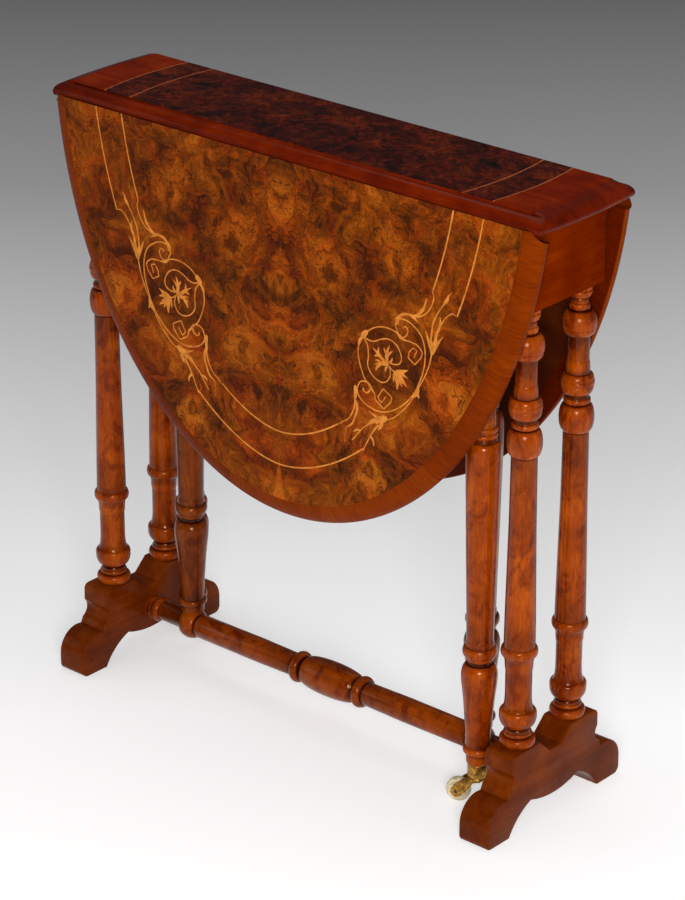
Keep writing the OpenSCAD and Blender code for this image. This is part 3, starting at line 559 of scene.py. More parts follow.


# %% Outlines carried round
# painted shade for turned work: the value that darkens the necks, deepest where they sink furthest
def hollows(outline, count=600, reach=24, full=2.0):
    """0 on the swellings and up to 1 in the necks: how far the radius lies under its own average over reach
    millimetres of height, as a share of full millimetres."""
    r, z = outline[:, 0], outline[:, 1]
    even = np.linspace(z[0], z[-1], count)
    order = np.argsort(z, kind="stable")
    flat = np.interp(even, z[order], r[order])
    width = max(3, int(reach / abs(z[-1] - z[0]) * count))
    kernel = np.hanning(width + 2)[1:-1]
    padded = np.pad(flat, width, mode="edge")
    smooth = np.convolve(padded, kernel / kernel.sum(), mode="same")[width:-width]
    return np.clip((np.interp(z, even, smooth) - r) / full, 0, 1)


def turned_shell(outline, foot, axis="Z"):
    """Carries an outline of (radius, height) round an axis through foot: the point at height h and angle a
    is foot + r cos a and r sin a across the axis, and h along it."""
    a = np.arange(ROUND) * 2 * np.pi / ROUND
    r, h = outline[:, :1], outline[:, 1:]
    c, s, h = r * np.cos(a), r * np.sin(a), np.broadcast_to(h, (len(outline), ROUND))
    rows = np.stack([c, s, h] if axis == "Z" else [h, c, s], -1) + np.array(foot, float)
    return skin(rows)


def turned(name, outline, foot, material, body, node, axis="Z", extra=(), shape=None):
    """One turned piece, with its hollow value, and any other shells of the same wood joined to it."""
    points, faces = turned_shell(outline, foot, axis)
    if shape:
        points = shape(points)
    hollow = np.repeat(hollows(outline), ROUND)
    rest = sum(len(p) for p, _ in extra)
    build(name, [(points, faces), *extra], material, body, (node,),
          marks={"hollow": np.concatenate([hollow, np.zeros(rest)])})


print("points round each turned piece:", ROUND)

# %% [markdown]
# The four columns are one pattern, turned four times. From the foot upwards it has two collars, an urn, a
# straight neck with a ring, a long taper, two balls with a small ring between them, a waisted stretch, a
# third ball, and small beads under the rail.

# %% The four columns
def column_outline(lo, hi):
    """From the seat on the foot, lo, to the underside of the rail, hi. The lower half is measured from lo
    and the upper half from hi."""
    return np.concatenate([
        plain((17.0, lo), (17.4, lo + 0.6)),
        ring(lo + 5.5, 17.4, 19.5, 4.5), ring(lo + 13.5, 14, 15.4, 2.5),
        sweep_up(lo + 16.5, 14, lo + 21, 11.6), sweep_out(lo + 21, 11.6, lo + 34, 20),
        sweep_up(lo + 37, 20, lo + 41.5, 17.4), plain((16.6, lo + 41.8), (16.8, lo + 42.2), (15.6, lo + 45)),
        plain((14.8, lo + 49), (14.3, lo + 55), (14.2, lo + 60), (14.2, lo + 88)),
        sweep_out(lo + 88, 14.2, lo + 98, 15.2), plain((16.2, lo + 102)),
        ring(lo + 110, 17, 19.8, 5.5), plain((16.8, lo + 118)),
        plain((16.2, lo + 160), (14.4, hi - 240), (13.8, hi - 163.8), (13.2, hi - 163.4), (13.2, hi - 162.8)),
        ring(hi - 147.6, 13.6, 18.6, 15), plain((12.8, hi - 132.3)), ring(hi - 128.6, 12.4, 14.3, 3.2),
        plain((12.2, hi - 125), (12.2, hi - 121)), sweep_out(hi - 121, 12.2, hi - 111.5, 17.2),
        ring(hi - 108, 17, 17.9, 3), sweep_up(hi - 104.5, 17, hi - 98, 13.2),
        plain((12.4, hi - 97.8)), sweep_up(hi - 97.6, 12.8, hi - 84, 11.6), plain((11.5, hi - 57.6)),
        plain((12.3, hi - 57), (12.3, hi - 55.6)), sweep_out(hi - 55.6, 12.3, hi - 48.6, 17.2),
        plain((16.8, hi - 48.2), (17.4, hi - 47.8)), sweep_out(hi - 47.8, 17.4, hi - 42, 18.2),
        sweep_up(hi - 41, 18.2, hi - 28.5, 10.4), ring(hi - 24.5, 10, 11.2, 3.6),
        sweep_up(hi - 20.5, 9.6, hi - 14.5, 8.5), sweep_out(hi - 14.5, 8.5, hi - 11, 12),
        ring(hi - 8.5, 12, 13.2, 2), plain((13.2, hi - 5), (13.2, hi)),
    ])


outline = column_outline(FOOT_H, RAIL_Z)
for end, sx in ENDS.items():
    for side, sy in SIDES.items():
        turned(f"column_turning_{side}_{end}", outline, (sx * FRAME_X, -sy * COLUMN_Y, 0), turned_up,
               "frame", f"column_{side}_{end}")
print("column outline:", len(outline), "points")

# %% [markdown]
# The stretcher is turned the same way, lying down. Its two beads at the ends have a small flat on top, on
# which the washers of the gate posts stand, so the points above the flat are brought down to it.

# %% The stretcher
def stretcher_outline(x):
    """The left half from its end at -x to the barrel, then the barrel, then the left half in a mirror."""
    half = [
        plain((13.2, -x), (13.2, -x + 6), (11, -x + 8)),
        ring(-FRAME_X + 32, 11, 14, 5), plain((11, -FRAME_X + 38)),
        plain((11, -PIVOT_X - 13)), ring(-PIVOT_X, 12, 18, 11), plain((13, -PIVOT_X + 12)),
        plain((13.9, -PIVOT_X + 15), (14.3, -110), (13.5, -56)), ring(-46, 13, 18.4, 6), plain((13.4, -38.5)),
    ]
    left = np.concatenate(half)
    right = left[::-1] * (1, -1)
    return np.concatenate([left, ring(0, 14.4, 20.5, 37), right])


def with_seats(points):
    """Brings the tops of the two pivot beads down to their flats."""
    near = np.abs(np.abs(points[:, 0]) - PIVOT_X) < 20
    points[:, 2] = np.where(near, np.minimum(points[:, 2], SEAT_Z), points[:, 2])
    return points


turned("stretcher_turning", stretcher_outline(FRAME_X - FOOT_T / 2), (0, 0, STRETCHER_Z), turned_across,
       "frame", "stretcher", "X", shape=with_seats)
print("stretcher:", 2 * FRAME_X - FOOT_T, "mm between the feet")

# %% [markdown]
# ## Feet, rails and blocks
# These were sawn from boards and rounded over a little by the scraper and by a century of dusters. Each is
# a flat outline carried through its thickness, with the sections next to both faces drawn in a little
# to leave rounded corners that catch the light.

# %% Boards with rounded corners
def inset(outline, amount):
    """Moves every corner of a closed outline inwards along the mean of its two sides' normals."""
    ahead = np.roll(outline, -1, 0) - outline
    ahead /= np.linalg.norm(ahead, axis=1, keepdims=True) + 1e-9
    behind = np.roll(ahead, 1, 0)
    inward = np.stack([-(ahead[:, 1] + behind[:, 1]), ahead[:, 0] + behind[:, 0]], 1)
    inward /= np.linalg.norm(inward, axis=1, keepdims=True) + 1e-9
    area = np.sum(outline[:, 0] * np.roll(outline[:, 1], -1) - outline[:, 1] * np.roll(outline[:, 0], -1))
    return outline + inward * amount * np.sign(area)


def board_shell(outline, lo, hi, soft, frame_of):
    """A flat outline carried from lo to hi; frame_of turns (outline, height) into space. The sections
    near both faces follow a quarter circle of radius soft."""
    t = np.linspace(0, np.pi / 2, 5)
    ins = np.concatenate([soft * (1 - np.sin(t)), (soft * (1 - np.sin(t)))[::-1]])
    level = np.concatenate([lo + soft * (1 - np.cos(t)), (hi - soft * (1 - np.cos(t)))[::-1]])
    rows = np.stack([frame_of(inset(outline, i), z) for i, z in zip(ins, level)])
    return skin(rows)


def arc(x, y, r, start, end, n=10):
    """n + 1 points of a circle between two angles, in degrees."""
    t = np.radians(np.linspace(start, end, n + 1))
    return np.stack([x + r * np.cos(t), y + r * np.sin(t)], 1)


def rounded_box(x0, x1, y0, y1, z0, z1, soft=0.8, corner=0.8):
    """A box whose upright corners are arcs and whose top and bottom edges are softened."""
    c = corner
    outline = np.concatenate([arc(x1 - c, y1 - c, c, 0, 90, 3), arc(x0 + c, y1 - c, c, 90, 180, 3),
                              arc(x0 + c, y0 + c, c, 180, 270, 3), arc(x1 - c, y0 + c, c, 270, 360, 3)])
    return board_shell(outline, z0, z1, soft, lambda o, z: np.column_stack([o, np.full(len(o), z)]))


print("points of a block with soft edges:", len(rounded_box(0, BLOCK, 0, BLOCK, 0, BLOCK)[0]))

# %% [markdown]
# Each foot was sawn to a pattern made of stretches of circles: a notch between the seats of the columns, a
# nose, a hollow, a toe, and an arch under the belly, so that it stands on its two heels. The end rail over
# it is a plain planed board.

# %% The two feet
def foot_outline():
    """Half the outline of a foot: the notch between the column seats, the nose, the hollow, the toe, the arch
    and the belly, each a stretch of a circle, then its mirror. Arch and belly meet at (mx, mz), and the belly
    hangs sag lower in the middle."""
    cx, cz, mx, mz, sag = 18.4, -32.4, 40, 31, 7.5
    belly_r = (mx ** 2 + sag ** 2) / (2 * sag)
    r, turn = math.hypot(mx - cx, mz - cz), math.degrees(math.asin(mx / belly_r))
    arch = arc(cx, cz, r, math.degrees(math.asin(-cz / r)), math.degrees(math.acos((mx - cx) / r)), 14)
    half = np.concatenate([
        plain((0, 79), (10, 79), (27, 95)), arc(67, 88, 7, 90, -10, 8), arc(83, 66, 12.5, 135, 245, 12),
        arc(88, 21, 27.5, 105, 0, 14), arc(107.5, 8, 8, 0, -90, 6), arch,
        arc(0, mz - sag + belly_r, belly_r, turn - 90, -90, 10)])
    return np.concatenate([half, (half * (-1, 1))[-2:0:-1]])


for end, sx in ENDS.items():
    shell = board_shell(foot_outline(), sx * FRAME_X - FOOT_T / 2, sx * FRAME_X + FOOT_T / 2, 1.6,
                        lambda o, x: np.column_stack([np.full(len(o), x), o]))
    build(f"foot_shaped_{end}", [shell], foot_wood, "frame", (f"foot_{end}",), crease=38)
    x0, x1 = sorted((sx * (FRAME_X - FRAME_T / 2), sx * (FRAME_X + FRAME_T / 2)))
    build(f"end_rail_planed_{end}", [rounded_box(x0, x1, -61, 61, RAIL_Z, UNDER_Z, 0.9, 1.2)], rail_wood,
          "frame", (f"end_rail_{end}",))
print("feet and end rails made")

# %% [markdown]
# ## The gates
# Post and leg are turned below and left square above, where the gate rail is tenoned into them. Both share
# one outline from the vase up to two small rings, and one neck from there to the block, so a pair of gates
# has one set of templates, as in a workshop.

# %% Gate outlines
def gate_outline(z, top):
    """z is the middle of the great ring, top the shoulder under the two small rings."""
    return np.concatenate([
        ring(z - 118, 13.6, 16.6, 4), plain((13.4, z - 112), (13.9, z - 96), (15.5, z - 77), (16.8, z - 59)),
        plain((18, z - 48), (19.1, z - 39), (19.6, z - 33)), sweep_up(z - 28, 19.7, z - 15, 13.2),
        plain((12.8, z - 14.6), (12.8, z - 11)), sweep_out(z - 11, 12.8, z - 6, 16),
        ring(z, 15.4, 18.7, 6), sweep_up(z + 6, 15.4, z + 13, 14.6),
        plain((15, z + 40), (17, top - 103), (18.9, top - 7)), sweep_up(top, 18.9, top + 11, 14.2),
        ring(top + 18, 13, 14.6, 2.5), ring(top + 25, 13, 14.6, 2.5)])


def neck_outline(start):
    """The slim neck over the small rings, from start, with one more ring and a cove under the block."""
    return np.concatenate([plain((12.3, start + 0.6), (12.3, start + 1), (12, start + 8)),
                           ring(BLOCK_Z - 22, 11.6, 13.6, 4), sweep_out(BLOCK_Z - 16, 11.6, BLOCK_Z, 14)])


def gate_place(points, side):
    """From the gate's own frame, with the pivot on the upright axis and the leg towards +X, to the table:
    turn by the gate's angle, move to the pivot, and for the back gate turn half round. The back gate is
    folded further in, so its angle has the sine BACK_LEG_Y / GATE_L."""
    turn = GATE_TURN if side > 0 else math.asin(BACK_LEG_Y / GATE_L)
    c, s = math.cos(-turn), math.sin(-turn)
    x = points[:, 0] * c - points[:, 1] * s - PIVOT_X
    y = points[:, 0] * s + points[:, 1] * c
    return np.column_stack([side * x, side * y, points[:, 2]])


def placed(shell, side):
    """A shell of the gate's own frame in its place."""
    return gate_place(shell[0], side), shell[1]


print("the neck has", len(neck_outline(BLOCK_Z - 92)), "points")

# %% Both gates
POST_RING, LEG_RING = POST_Z + 130, LEG_Z + 135
POST_SHOULDER, LEG_SHOULDER = BLOCK_Z - 119, BLOCK_Z - 132
RINGS, HALF = 27.0, BLOCK / 2
post = [plain((13.6, POST_Z), (13.6, POST_Z + 4)), gate_outline(POST_RING, POST_SHOULDER),
        neck_outline(POST_SHOULDER + RINGS)]
leg = [plain((11, LEG_Z)), sweep_out(LEG_Z, 11, LEG_Z + 5, 12.9), sweep_up(LEG_Z + 7, 12.9, LEG_Z + 12, 12.4),
       gate_outline(LEG_RING, LEG_SHOULDER), neck_outline(LEG_SHOULDER + RINGS)]
UPRIGHTS = {"post": (0, POST_TOP, turned_post_shaded, post), "leg": (GATE_L, LEG_TOP, turned_up, leg)}
for side, sign in SIDES.items():
    for part, (x, top, wood, outline) in UPRIGHTS.items():
        block = placed(rounded_box(x - HALF, x + HALF, -HALF, HALF, BLOCK_Z, top, 0.7), sign)
        turned(f"gate_{part}_turning_{side}", np.concatenate(outline), (x, 0, 0), wood, f"gate_{side}",
               f"gate_{part}_{side}", extra=[block], shape=lambda p, k=sign: gate_place(p, k))
    rail = rounded_box(HALF, GATE_L - HALF, -GATE_T / 2, GATE_T / 2, GATE_Z, GATE_Z + GATE_D)
    build(f"gate_rail_planed_{side}", [placed(rail, sign)], gate_wood, f"gate_{side}", (f"gate_rail_{side}",))
print("gates made")

# %% [markdown]
# ## The leaves' edging
# The thumb moulding round each leaf was worked with a plane after the edging was glued on. Its section is
# carried along the oval at a constant width, measured square to the edge. At the hinge line the hollow
# of the rule joint cuts it off: no point may come nearer to the line than the hollow's circle allows.

# %% The moulding's section and the hanging leaf
def section_points():
    """Distance in from the edge and height over the underside: a flat underside, a rounded nose, a long
    slope, and a small square step down from the veneer. The inner face has a point at the height of each
    outer one, so that the ends can be closed by rungs across the hollow of the rule joint."""
    knots = np.array([(0.00, 0.21), (0.01, 0.33), (0.07, 0.486), (0.18, 0.631), (0.32, 0.749), (0.50, 0.849),
                      (0.72, 0.922), (0.945, 0.953)])
    t = np.linspace(0, 1, len(knots))
    fine = np.linspace(0, 1, 22)
    curve = np.stack([np.interp(fine, t, knots[:, k]) for k in (0, 1)], 1)
    for _ in range(2):
        curve[1:-1] = (curve[:-2] + 2 * curve[1:-1] + curve[2:]) / 4
    nose = np.array([(0.10, 0.0), (0.045, 0.03), (0.015, 0.10)])
    outer = np.concatenate([nose, curve, [(0.95, 1.0)]])
    inner = np.stack([np.ones(len(outer)), outer[::-1, 1]], 1)
    return np.concatenate([outer, inner]) * (EDGE_W, BOARD)


def rim_points(t, inward):
    """The table's ellipse at angle t, moved inwards along its normal."""
    normal = np.stack([np.cos(t) / OVAL_A, np.sin(t) / OVAL_B], -1)
    normal /= np.linalg.norm(normal, axis=-1, keepdims=True)
    return np.stack([OVAL_A * np.cos(t), OVAL_B * np.sin(t)], -1) - normal * inward[..., None]


def hang(x, v, w, side):
    """Leaf coordinates to the hanging leaf: x along the hinge, v down the leaf from the pin, w out from it.
    The leaf stands off plumb by LEAN: outwards w cos + v sin, and down v cos - w sin."""
    out, down = w * math.cos(LEAN) + v * math.sin(LEAN), v * math.cos(LEAN) - w * math.sin(LEAN)
    return np.stack([side * x, -side * (PIN_Y + out), PIN_Z - down], -1)


print("points of the moulding's section:", len(section_points()))

# %% Each leaf's moulding
STATIONS, PAST, ON_FACE = 260, 4.0, 10


def leaf_edging(side):
    """The section carried round the oval, from PAST beyond the hinge line at one end to the other. v is never
    less than the hollow's circle allows, sqrt(HOLLOW ** 2 - w ** 2), nor than the lip above it. Lengths along
    the band are measured at the section's point ON_FACE."""
    sign, section = SIDES[side], section_points()
    start = math.asin((PIN_Y - PAST) / OVAL_B)
    t = np.linspace(start, math.pi - start, STATIONS)[:, None]
    inward = np.broadcast_to(section[:, 0], (STATIONS, len(section)))
    flat = rim_points(np.broadcast_to(t, inward.shape), inward)
    w = np.broadcast_to(section[:, 1] - BELOW_PIN, inward.shape)
    limit = np.where(w > HOLLOW, LIP, np.sqrt(np.clip(HOLLOW ** 2 - np.clip(w, 0, None) ** 2, 0, None)))
    rows = hang(flat[..., 0], np.maximum(flat[..., 1] - PIN_Y, limit), w, sign)
    points, faces = skin(rows)
    n, last = len(section), (STATIONS - 1) * len(section)
    rungs = [(j, j + 1, n - 2 - j, n - 1 - j) for j in range(n // 2 - 1)]
    faces = faces[:-2] + [list(r[::-1]) for r in rungs] + [[last + j for j in r] for r in rungs]
    steps = [np.linalg.norm(np.diff(line, axis=0), axis=1) for line in (rows[:, ON_FACE], section)]
    u, q = np.meshgrid(*(np.concatenate([[0], np.cumsum(d)]) * MM for d in steps), indexing="ij")
    build(f"leaf_moulding_{side}", [(points, faces)], edging, f"leaf_{side}", (f"leaf_edging_{side}",),
          crease=40, maps=np.stack([u.ravel(), q.ravel()], 1),
          marks={"under": np.tile(section[:, 1] == 0, STATIONS).astype(float)})
    return u.max()


for side in SIDES:
    band = leaf_edging(side)
print("length of each leaf's moulding:", round(band, 3), "m")

# %% [markdown]
# ## Marquetry
# The scrolls were sawn from boxwood sheet and set into the burr. Each stroke is a centre line through a
# few chosen points, drawn as a smooth curve, with a width that swells and tapers as the sawyer's line does.
# It is a closed strip, about a tenth of a millimetre proud of the veneer, as old inlay stands when the
# ground shrinks. One cartouche is drawn, and its mirror at the seam is the other.

# %% Strokes of inlay
LINE, PER_STEP, SUNK = 1.5, 14, 0.3


def smooth_line(points):
    """A curve through the points: between two of them it is the cubic whose slopes are half the step
    between the neighbours on both sides."""
    p = np.array(points, float)
    p = np.concatenate([[2 * p[0] - p[1]], p, [2 * p[-1] - p[-2]]])
    t = np.linspace(0, 1, PER_STEP, endpoint=False)[None, :, None]
    a, b, c, d = (p[k:len(p) - 3 + k, None] for k in range(4))
    curve = b + 0.5 * t * (c - a) + t ** 2 * (a - 2.5 * b + 2 * c - 0.5 * d)
    curve = curve + t ** 3 * (1.5 * b - 1.5 * c + 0.5 * (d - a))
    return np.concatenate([curve.reshape(-1, 2), p[-2:-1]])


def strip(line, width, mirror, side, lift):
    """A closed strip along a line in leaf coordinates, width[i] wide at point i, lift over the veneer."""
    step = np.gradient(line, axis=0)
    step /= np.linalg.norm(step, axis=1, keepdims=True) + 1e-9
    normal = np.stack([-step[:, 1], step[:, 0]], 1) * width[:, None] / 2
    left, right = line + normal, line - normal
    flat = np.stack([left, right, right, left], 1)
    w = FACE_W + np.array([lift, lift, -SUNK, -SUNK])
    return skin(hang(mirror * flat[..., 0], flat[..., 1], np.broadcast_to(w, flat.shape[:2]), side))


def widths(kind, n, most):
    """Along the stroke, t from 0 to 1: a line is even with tapered tips, a leaf swells as sin(pi t ** 0.7),
    a tapering stroke goes from its widest to a line's width."""
    t = np.linspace(0, 1, n)
    if kind == "leaf":
        return 0.25 + most * np.sin(np.pi * t ** 0.7) ** 0.9
    if kind == "taper":
        return LINE * 0.85 + (most - LINE) * np.clip(1 - t * 1.6, 0, 1) ** 1.5 - 0.3 * t ** 6
    if kind == "key":
        return np.full(n, LINE * 0.85)
    return np.full(n, LINE) * np.clip(np.minimum(t, 1 - t) * 30 + 0.6, 0, 1)


print("points of a line through three:", len(smooth_line([(0, 0), (1, 1), (2, 0)])))

# %% [markdown]
# Each stroke below has its kind, its greatest width, and its points one after the other, in millimetres: x
# from the seam, then v down from the hinge. They were drawn after one cartouche of the photograph,
# and CARTOUCHE moves the whole drawing to its place.

# %% The strokes of one cartouche
CARTOUCHE = np.array([3.5, -5.0])
STROKES = [
    # the outer ring, from one volute round to the other
    ("line", LINE, [163.6, 147, 167.6, 143.8, 170.8, 148, 168, 154.5, 162, 157, 157.4, 152.6, 154.4,
     144.8, 157.2, 138.6, 164, 136.8, 173, 138, 181.3, 142.4, 188, 148, 192.2, 156.5, 194.1, 166.3, 193.7,
     178, 191, 190, 186.6, 201.7, 181.5, 212.5, 172, 225, 160.6, 235.4, 149, 242.5, 138.6, 246, 127,
     246.4, 115, 243, 107.4, 237.3, 104.5, 230.4, 107.4, 221.8, 113.8, 218.6, 120.8, 220.4, 121.5, 226.6,
     117.4, 230.4, 112.7, 229, 113.3, 226]),
    # the two straps, each ending in a Greek key
    ("line", LINE, [111, 168, 117, 162.4, 126.3, 156, 136.7, 152.4, 146, 151.8, 154, 153, 159.7, 155.7,
     166.6, 158.6, 175.8, 159, 182.6, 160, 187.8, 163.3, 190.7, 167]),
    ("key", LINE, [190.7, 167, 188.5, 173, 181, 182, 172, 177, 173.1, 170.2, 178.1, 164.5, 183.3, 166.4,
     179.4, 175]),
    ("line", LINE, [106.6, 176.7, 104.8, 187, 106.7, 198, 110.2, 207.5, 115.6, 216.6, 123, 222.5, 127.9,
     228.5, 130, 235.3, 141, 242]),
    ("key", LINE, [141, 242, 150.1, 232, 151.2, 226, 139.5, 220, 132.6, 231.2, 137.3, 236.2, 143.1,
     228.3]),
    # the heart-shaped inner strap
    ("line", LINE, [112, 169, 119.4, 171.6, 127.5, 170.6, 134.5, 166.8, 142.5, 163.9, 150.6, 164.4, 157.6,
     168.7, 162.2, 176, 162.9, 182.5, 158.9, 187.8, 152, 189.2, 147, 189]),
    ("line", LINE, [112, 170, 117.6, 178, 118.9, 188.7, 118.2, 198.6, 121.9, 206.2, 129, 211.4, 138.3,
     213.2, 145.2, 209.3, 148.7, 201.7, 147, 193]),
    # the flower: four sprays and the large leaf
    ("leaf", 4.2, [145, 192, 143.6, 184, 144.2, 177, 147, 170]),
    ("leaf", 2.4, [143.8, 184, 147, 179, 151.5, 175]), ("leaf", 2, [143.6, 182, 140.5, 177, 139.5, 174]),
    ("leaf", 4, [145, 192, 138, 187.6, 131, 182.4, 124, 178.4]),
    ("leaf", 2.2, [135, 185, 129.5, 185.6, 126.5, 187]), ("leaf", 2, [133, 184, 132, 179, 133, 175.5]),
    ("leaf", 4, [145, 192, 137, 192.6, 127, 196]), ("leaf", 3, [137, 193, 131, 198, 129, 203]),
    ("leaf", 2, [138, 192, 132, 190.5, 128, 191]), ("leaf", 2.6, [145, 192, 142.5, 197, 142, 201]),
    ("leaf", 2.2, [146, 190, 150, 186, 151, 182]), ("line", LINE, [145, 191, 151, 196, 158, 197.4]),
    ("leaf", 6.5, [154, 196, 162, 202, 171, 209]), ("leaf", 4.6, [156, 196, 164, 194.5, 172.5, 190.5]),
    ("leaf", 4, [158, 197, 165, 197.4, 172, 199.5]), ("leaf", 5.2, [156, 198, 158.4, 207, 158, 216]),
    ("leaf", 4, [157, 199, 162, 205, 164.5, 211]), ("leaf", 3, [154, 197.5, 153.6, 203, 153, 209]),
    # nodes where the straps meet
    ("leaf", 6, [118, 161.5, 111.5, 168, 109, 174]), ("leaf", 3.6, [108.5, 171, 106.4, 177, 105, 182]),
    ("leaf", 5, [156, 145, 157, 138, 163, 133]), ("leaf", 3.6, [157, 153.5, 163, 158, 171, 159]),
    ("leaf", 4.6, [101.5, 226, 102.5, 233, 103.5, 241]), ("leaf", 3, [119, 218.6, 123, 223, 126, 228]),
    # the upper tendril to the inner line, with its leaves
    ("taper", 4, [158, 137, 164, 131.4, 173, 129.6, 182, 129.4, 191.2, 125.2, 199.5, 116, 203.6, 104, 202,
     98, 203.2, 93]), ("leaf", 2.8, [173, 130.5, 179, 132, 184, 135.6]),
    ("leaf", 3.2, [180, 130, 190, 119.5, 194.6, 106]), ("leaf", 3.2, [178, 129.6, 183, 128, 188, 127]),
    # the tulip at the side, its tendrils and its stalk
    ("leaf", 5.4, [202.6, 166, 203.4, 158, 200.4, 147]), ("leaf", 5, [202.6, 166, 206, 155, 208, 138]),
    ("leaf", 3.6, [202, 162, 198.5, 152, 193.6, 141.4]),
    ("leaf", 3.6, [203.4, 164, 209.5, 152, 216.6, 142]),
    ("taper", 2.4, [201, 150, 203.2, 133, 207, 122.4, 212.4, 113.6, 219, 103.5, 225.5, 93]),
    ("leaf", 3.4, [216, 108, 221, 101, 222.6, 95]),
    ("taper", 3, [207.6, 150, 209.4, 138, 214.4, 128.8, 220, 120.6, 227.6, 114.6, 232.4, 115.4]),
    ("leaf", 2.6, [210, 140, 212.6, 130, 212.4, 122]),
    ("taper", 2.2, [202.6, 165, 199.6, 178, 194, 192, 186, 206.7, 182, 214]),
    ("leaf", 5, [187, 206, 183.4, 213.6, 178, 220]), ("leaf", 3.4, [182, 212, 186, 214.6, 187.4, 218]),
    ("taper", 1.9, [183, 213, 174.6, 226.4, 165.4, 237.6, 155, 247.4, 144, 254]),
    # the lower calyx and its tendrils
    ("leaf", 7, [146, 251, 138, 254.6, 130, 262]), ("leaf", 3.4, [140, 252, 131, 253.4, 120.6, 249.6]),
    ("leaf", 4.4, [139, 255, 137.4, 262, 134, 268]), ("leaf", 3.6, [134, 256, 126, 259.5, 119, 265]),
    ("taper", 2.6, [132, 258, 122, 264, 113, 271.4, 105.6, 280.6, 98.6, 289]),
    ("taper", 2.8, [134, 262, 128, 270, 122, 280, 117.6, 289, 113.4, 297.4]),
    ("leaf", 2.8, [123, 277, 127.4, 282, 128.4, 288]), ("leaf", 2.6, [110, 274.4, 104.4, 276, 99.6, 279]),
    # the left tendril to the inner line
    ("taper", 4.4, [103, 228, 101.4, 238, 101.6, 248, 97.4, 260, 91.4, 268, 86, 271.4, 81, 275.6]),
    ("leaf", 3, [102, 240, 105, 252, 101.6, 264]), ("leaf", 2.2, [104, 256, 98.6, 270, 88.6, 278]),
]
print("strokes drawn:", len(STROKES))

# %% Both cartouches of each leaf
STEP, LEVELS = 0.0015, 100


def marquetry(side):
    """Every stroke and its mirror, each lifted by a STEP more than the one before, so that two that cross
    never share a face."""
    shells = []
    for mirror in (1, -1):
        for kind, most, flat in STROKES:
            points = np.array(flat, float).reshape(-1, 2)
            for run in list(zip(points[:-1], points[1:])) if kind == "key" else [points]:
                line = (np.array(run) if kind == "key" else smooth_line(run)) + CARTOUCHE
                width = widths(kind, len(line), most)
                lift = 0.05 + STEP * (len(shells) % LEVELS)
                shells.append(strip(line, width, mirror, SIDES[side], lift))
    build(f"marquetry_{side}", shells, leaf_line, f"leaf_{side}", (), crease=30)
    return len(shells)


for side in SIDES:
    count = marquetry(side)
print("strips of inlay on each leaf:", count)

# %% [markdown]
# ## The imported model's own pieces
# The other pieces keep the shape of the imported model. Flat ones only need their finish. Curved ones are
# copied, their loose triangles joined, and shaded smooth up to a crease, so that a rounded edge
# reflects the lamp as a clean line.

# %% Finishes for the flat pieces
FLAT = {"top_burr_veneer": top_burr, "top_end_veneers": end_panels, "top_stringing": top_line,
        "long_bearer": inner_wood_shaded, "glue_blocks": inner_wood_shaded}
for side in SIDES:
    FLAT |= {f"leaf_veneer_{side}": leaf_burr, f"leaf_stringing_{side}": leaf_line,
             f"leaf_stop_{side}": inner_wood_shaded}
for node, material in FLAT.items():
    for place in NODES[node].material_slots:
        place.material = material
print("flat pieces that keep their own mesh:", len(FLAT))

# %% Smooth copies of the curved pieces
BODY_OF = {n: body for body, nodes in frame["record"]["behaviour"]["bodies"].items() for n in nodes}


def smoothed(node, material, crease=38):
    """A copy of the node's triangles, joined where corners meet, smooth up to the crease."""
    mesh = NODES[node].data.copy()
    shape = bmesh.new()
    shape.from_mesh(mesh)
    bmesh.ops.remove_doubles(shape, verts=shape.verts, dist=1e-6)
    shape.to_mesh(mesh)
    shape.free()
    mesh.materials.clear()
    enter(f"{node}_finished", mesh, material, BODY_OF[node], (node,), crease)


smoothed("top_board", top_edge_wood)
for end in ENDS:
    smoothed(f"top_edging_{end}", top_edge_wood)
smoothed("pivot_washers", brass)
smoothed("block_screws", iron)
for side in SIDES:
    smoothed(f"leaf_board_{side}", inner_wood_shaded)
    for node in (f"top_flaps_{side}", f"leaf_flaps_{side}", f"top_flap_screws_{side}",
                 f"leaf_flap_screws_{side}", f"caster_socket_{side}", f"caster_horn_{side}"):
        smoothed(node, brass)
    for node in (f"pivot_pins_{side}", f"hinge_pins_{side}", f"caster_axle_{side}"):
        smoothed(node, iron)
    smoothed(f"caster_wheel_{side}", ceramic, 42)

# %% [markdown]
# ## Camera, floor and light
# The photograph was taken from the front right and a little above. The camera's place, aim and lens were
# fitted so that the table's corners fall where the photograph shows them.

# %% Camera
def looking_axes(spot, aim, roll=0.0):
    """Right, up and back of a camera at spot that looks to aim: back = spot - aim, right = z x back,
    up = back x right, each of length 1, then right and up are turned by roll."""
    back = np.array(spot) - np.array(aim)
    back /= np.linalg.norm(back)
    right = np.cross((0, 0, 1), back)
    right /= np.linalg.norm(right)
    up = np.cross(back, right)
    c, s = math.cos(roll), math.sin(roll)
    return np.stack([c * right + s * up, -s * right + c * up, back], 1)


def look(item, spot, aim, roll=0.0):
    """Puts a camera or a lamp at spot and turns it to aim."""
    item.location = spot
    item.rotation_euler = Matrix(looking_axes(spot, aim, roll).tolist()).to_euler()


SPOT, AIM, ROLL = (2.22946, -2.55922, 1.84459), (0.0142, 0.0, 0.3426), 0.0016
eye = bpy.data.cameras.new("camera")
eye.lens, eye.sensor_width = 136.66, 36.0
eye.shift_x, eye.shift_y = 0.0009, -0.0067
viewer = link("camera", eye)
look(viewer, SPOT, AIM, ROLL)
bpy.context.scene.camera = viewer
print("camera", round(math.dist(SPOT, AIM), 2), "m from the table")
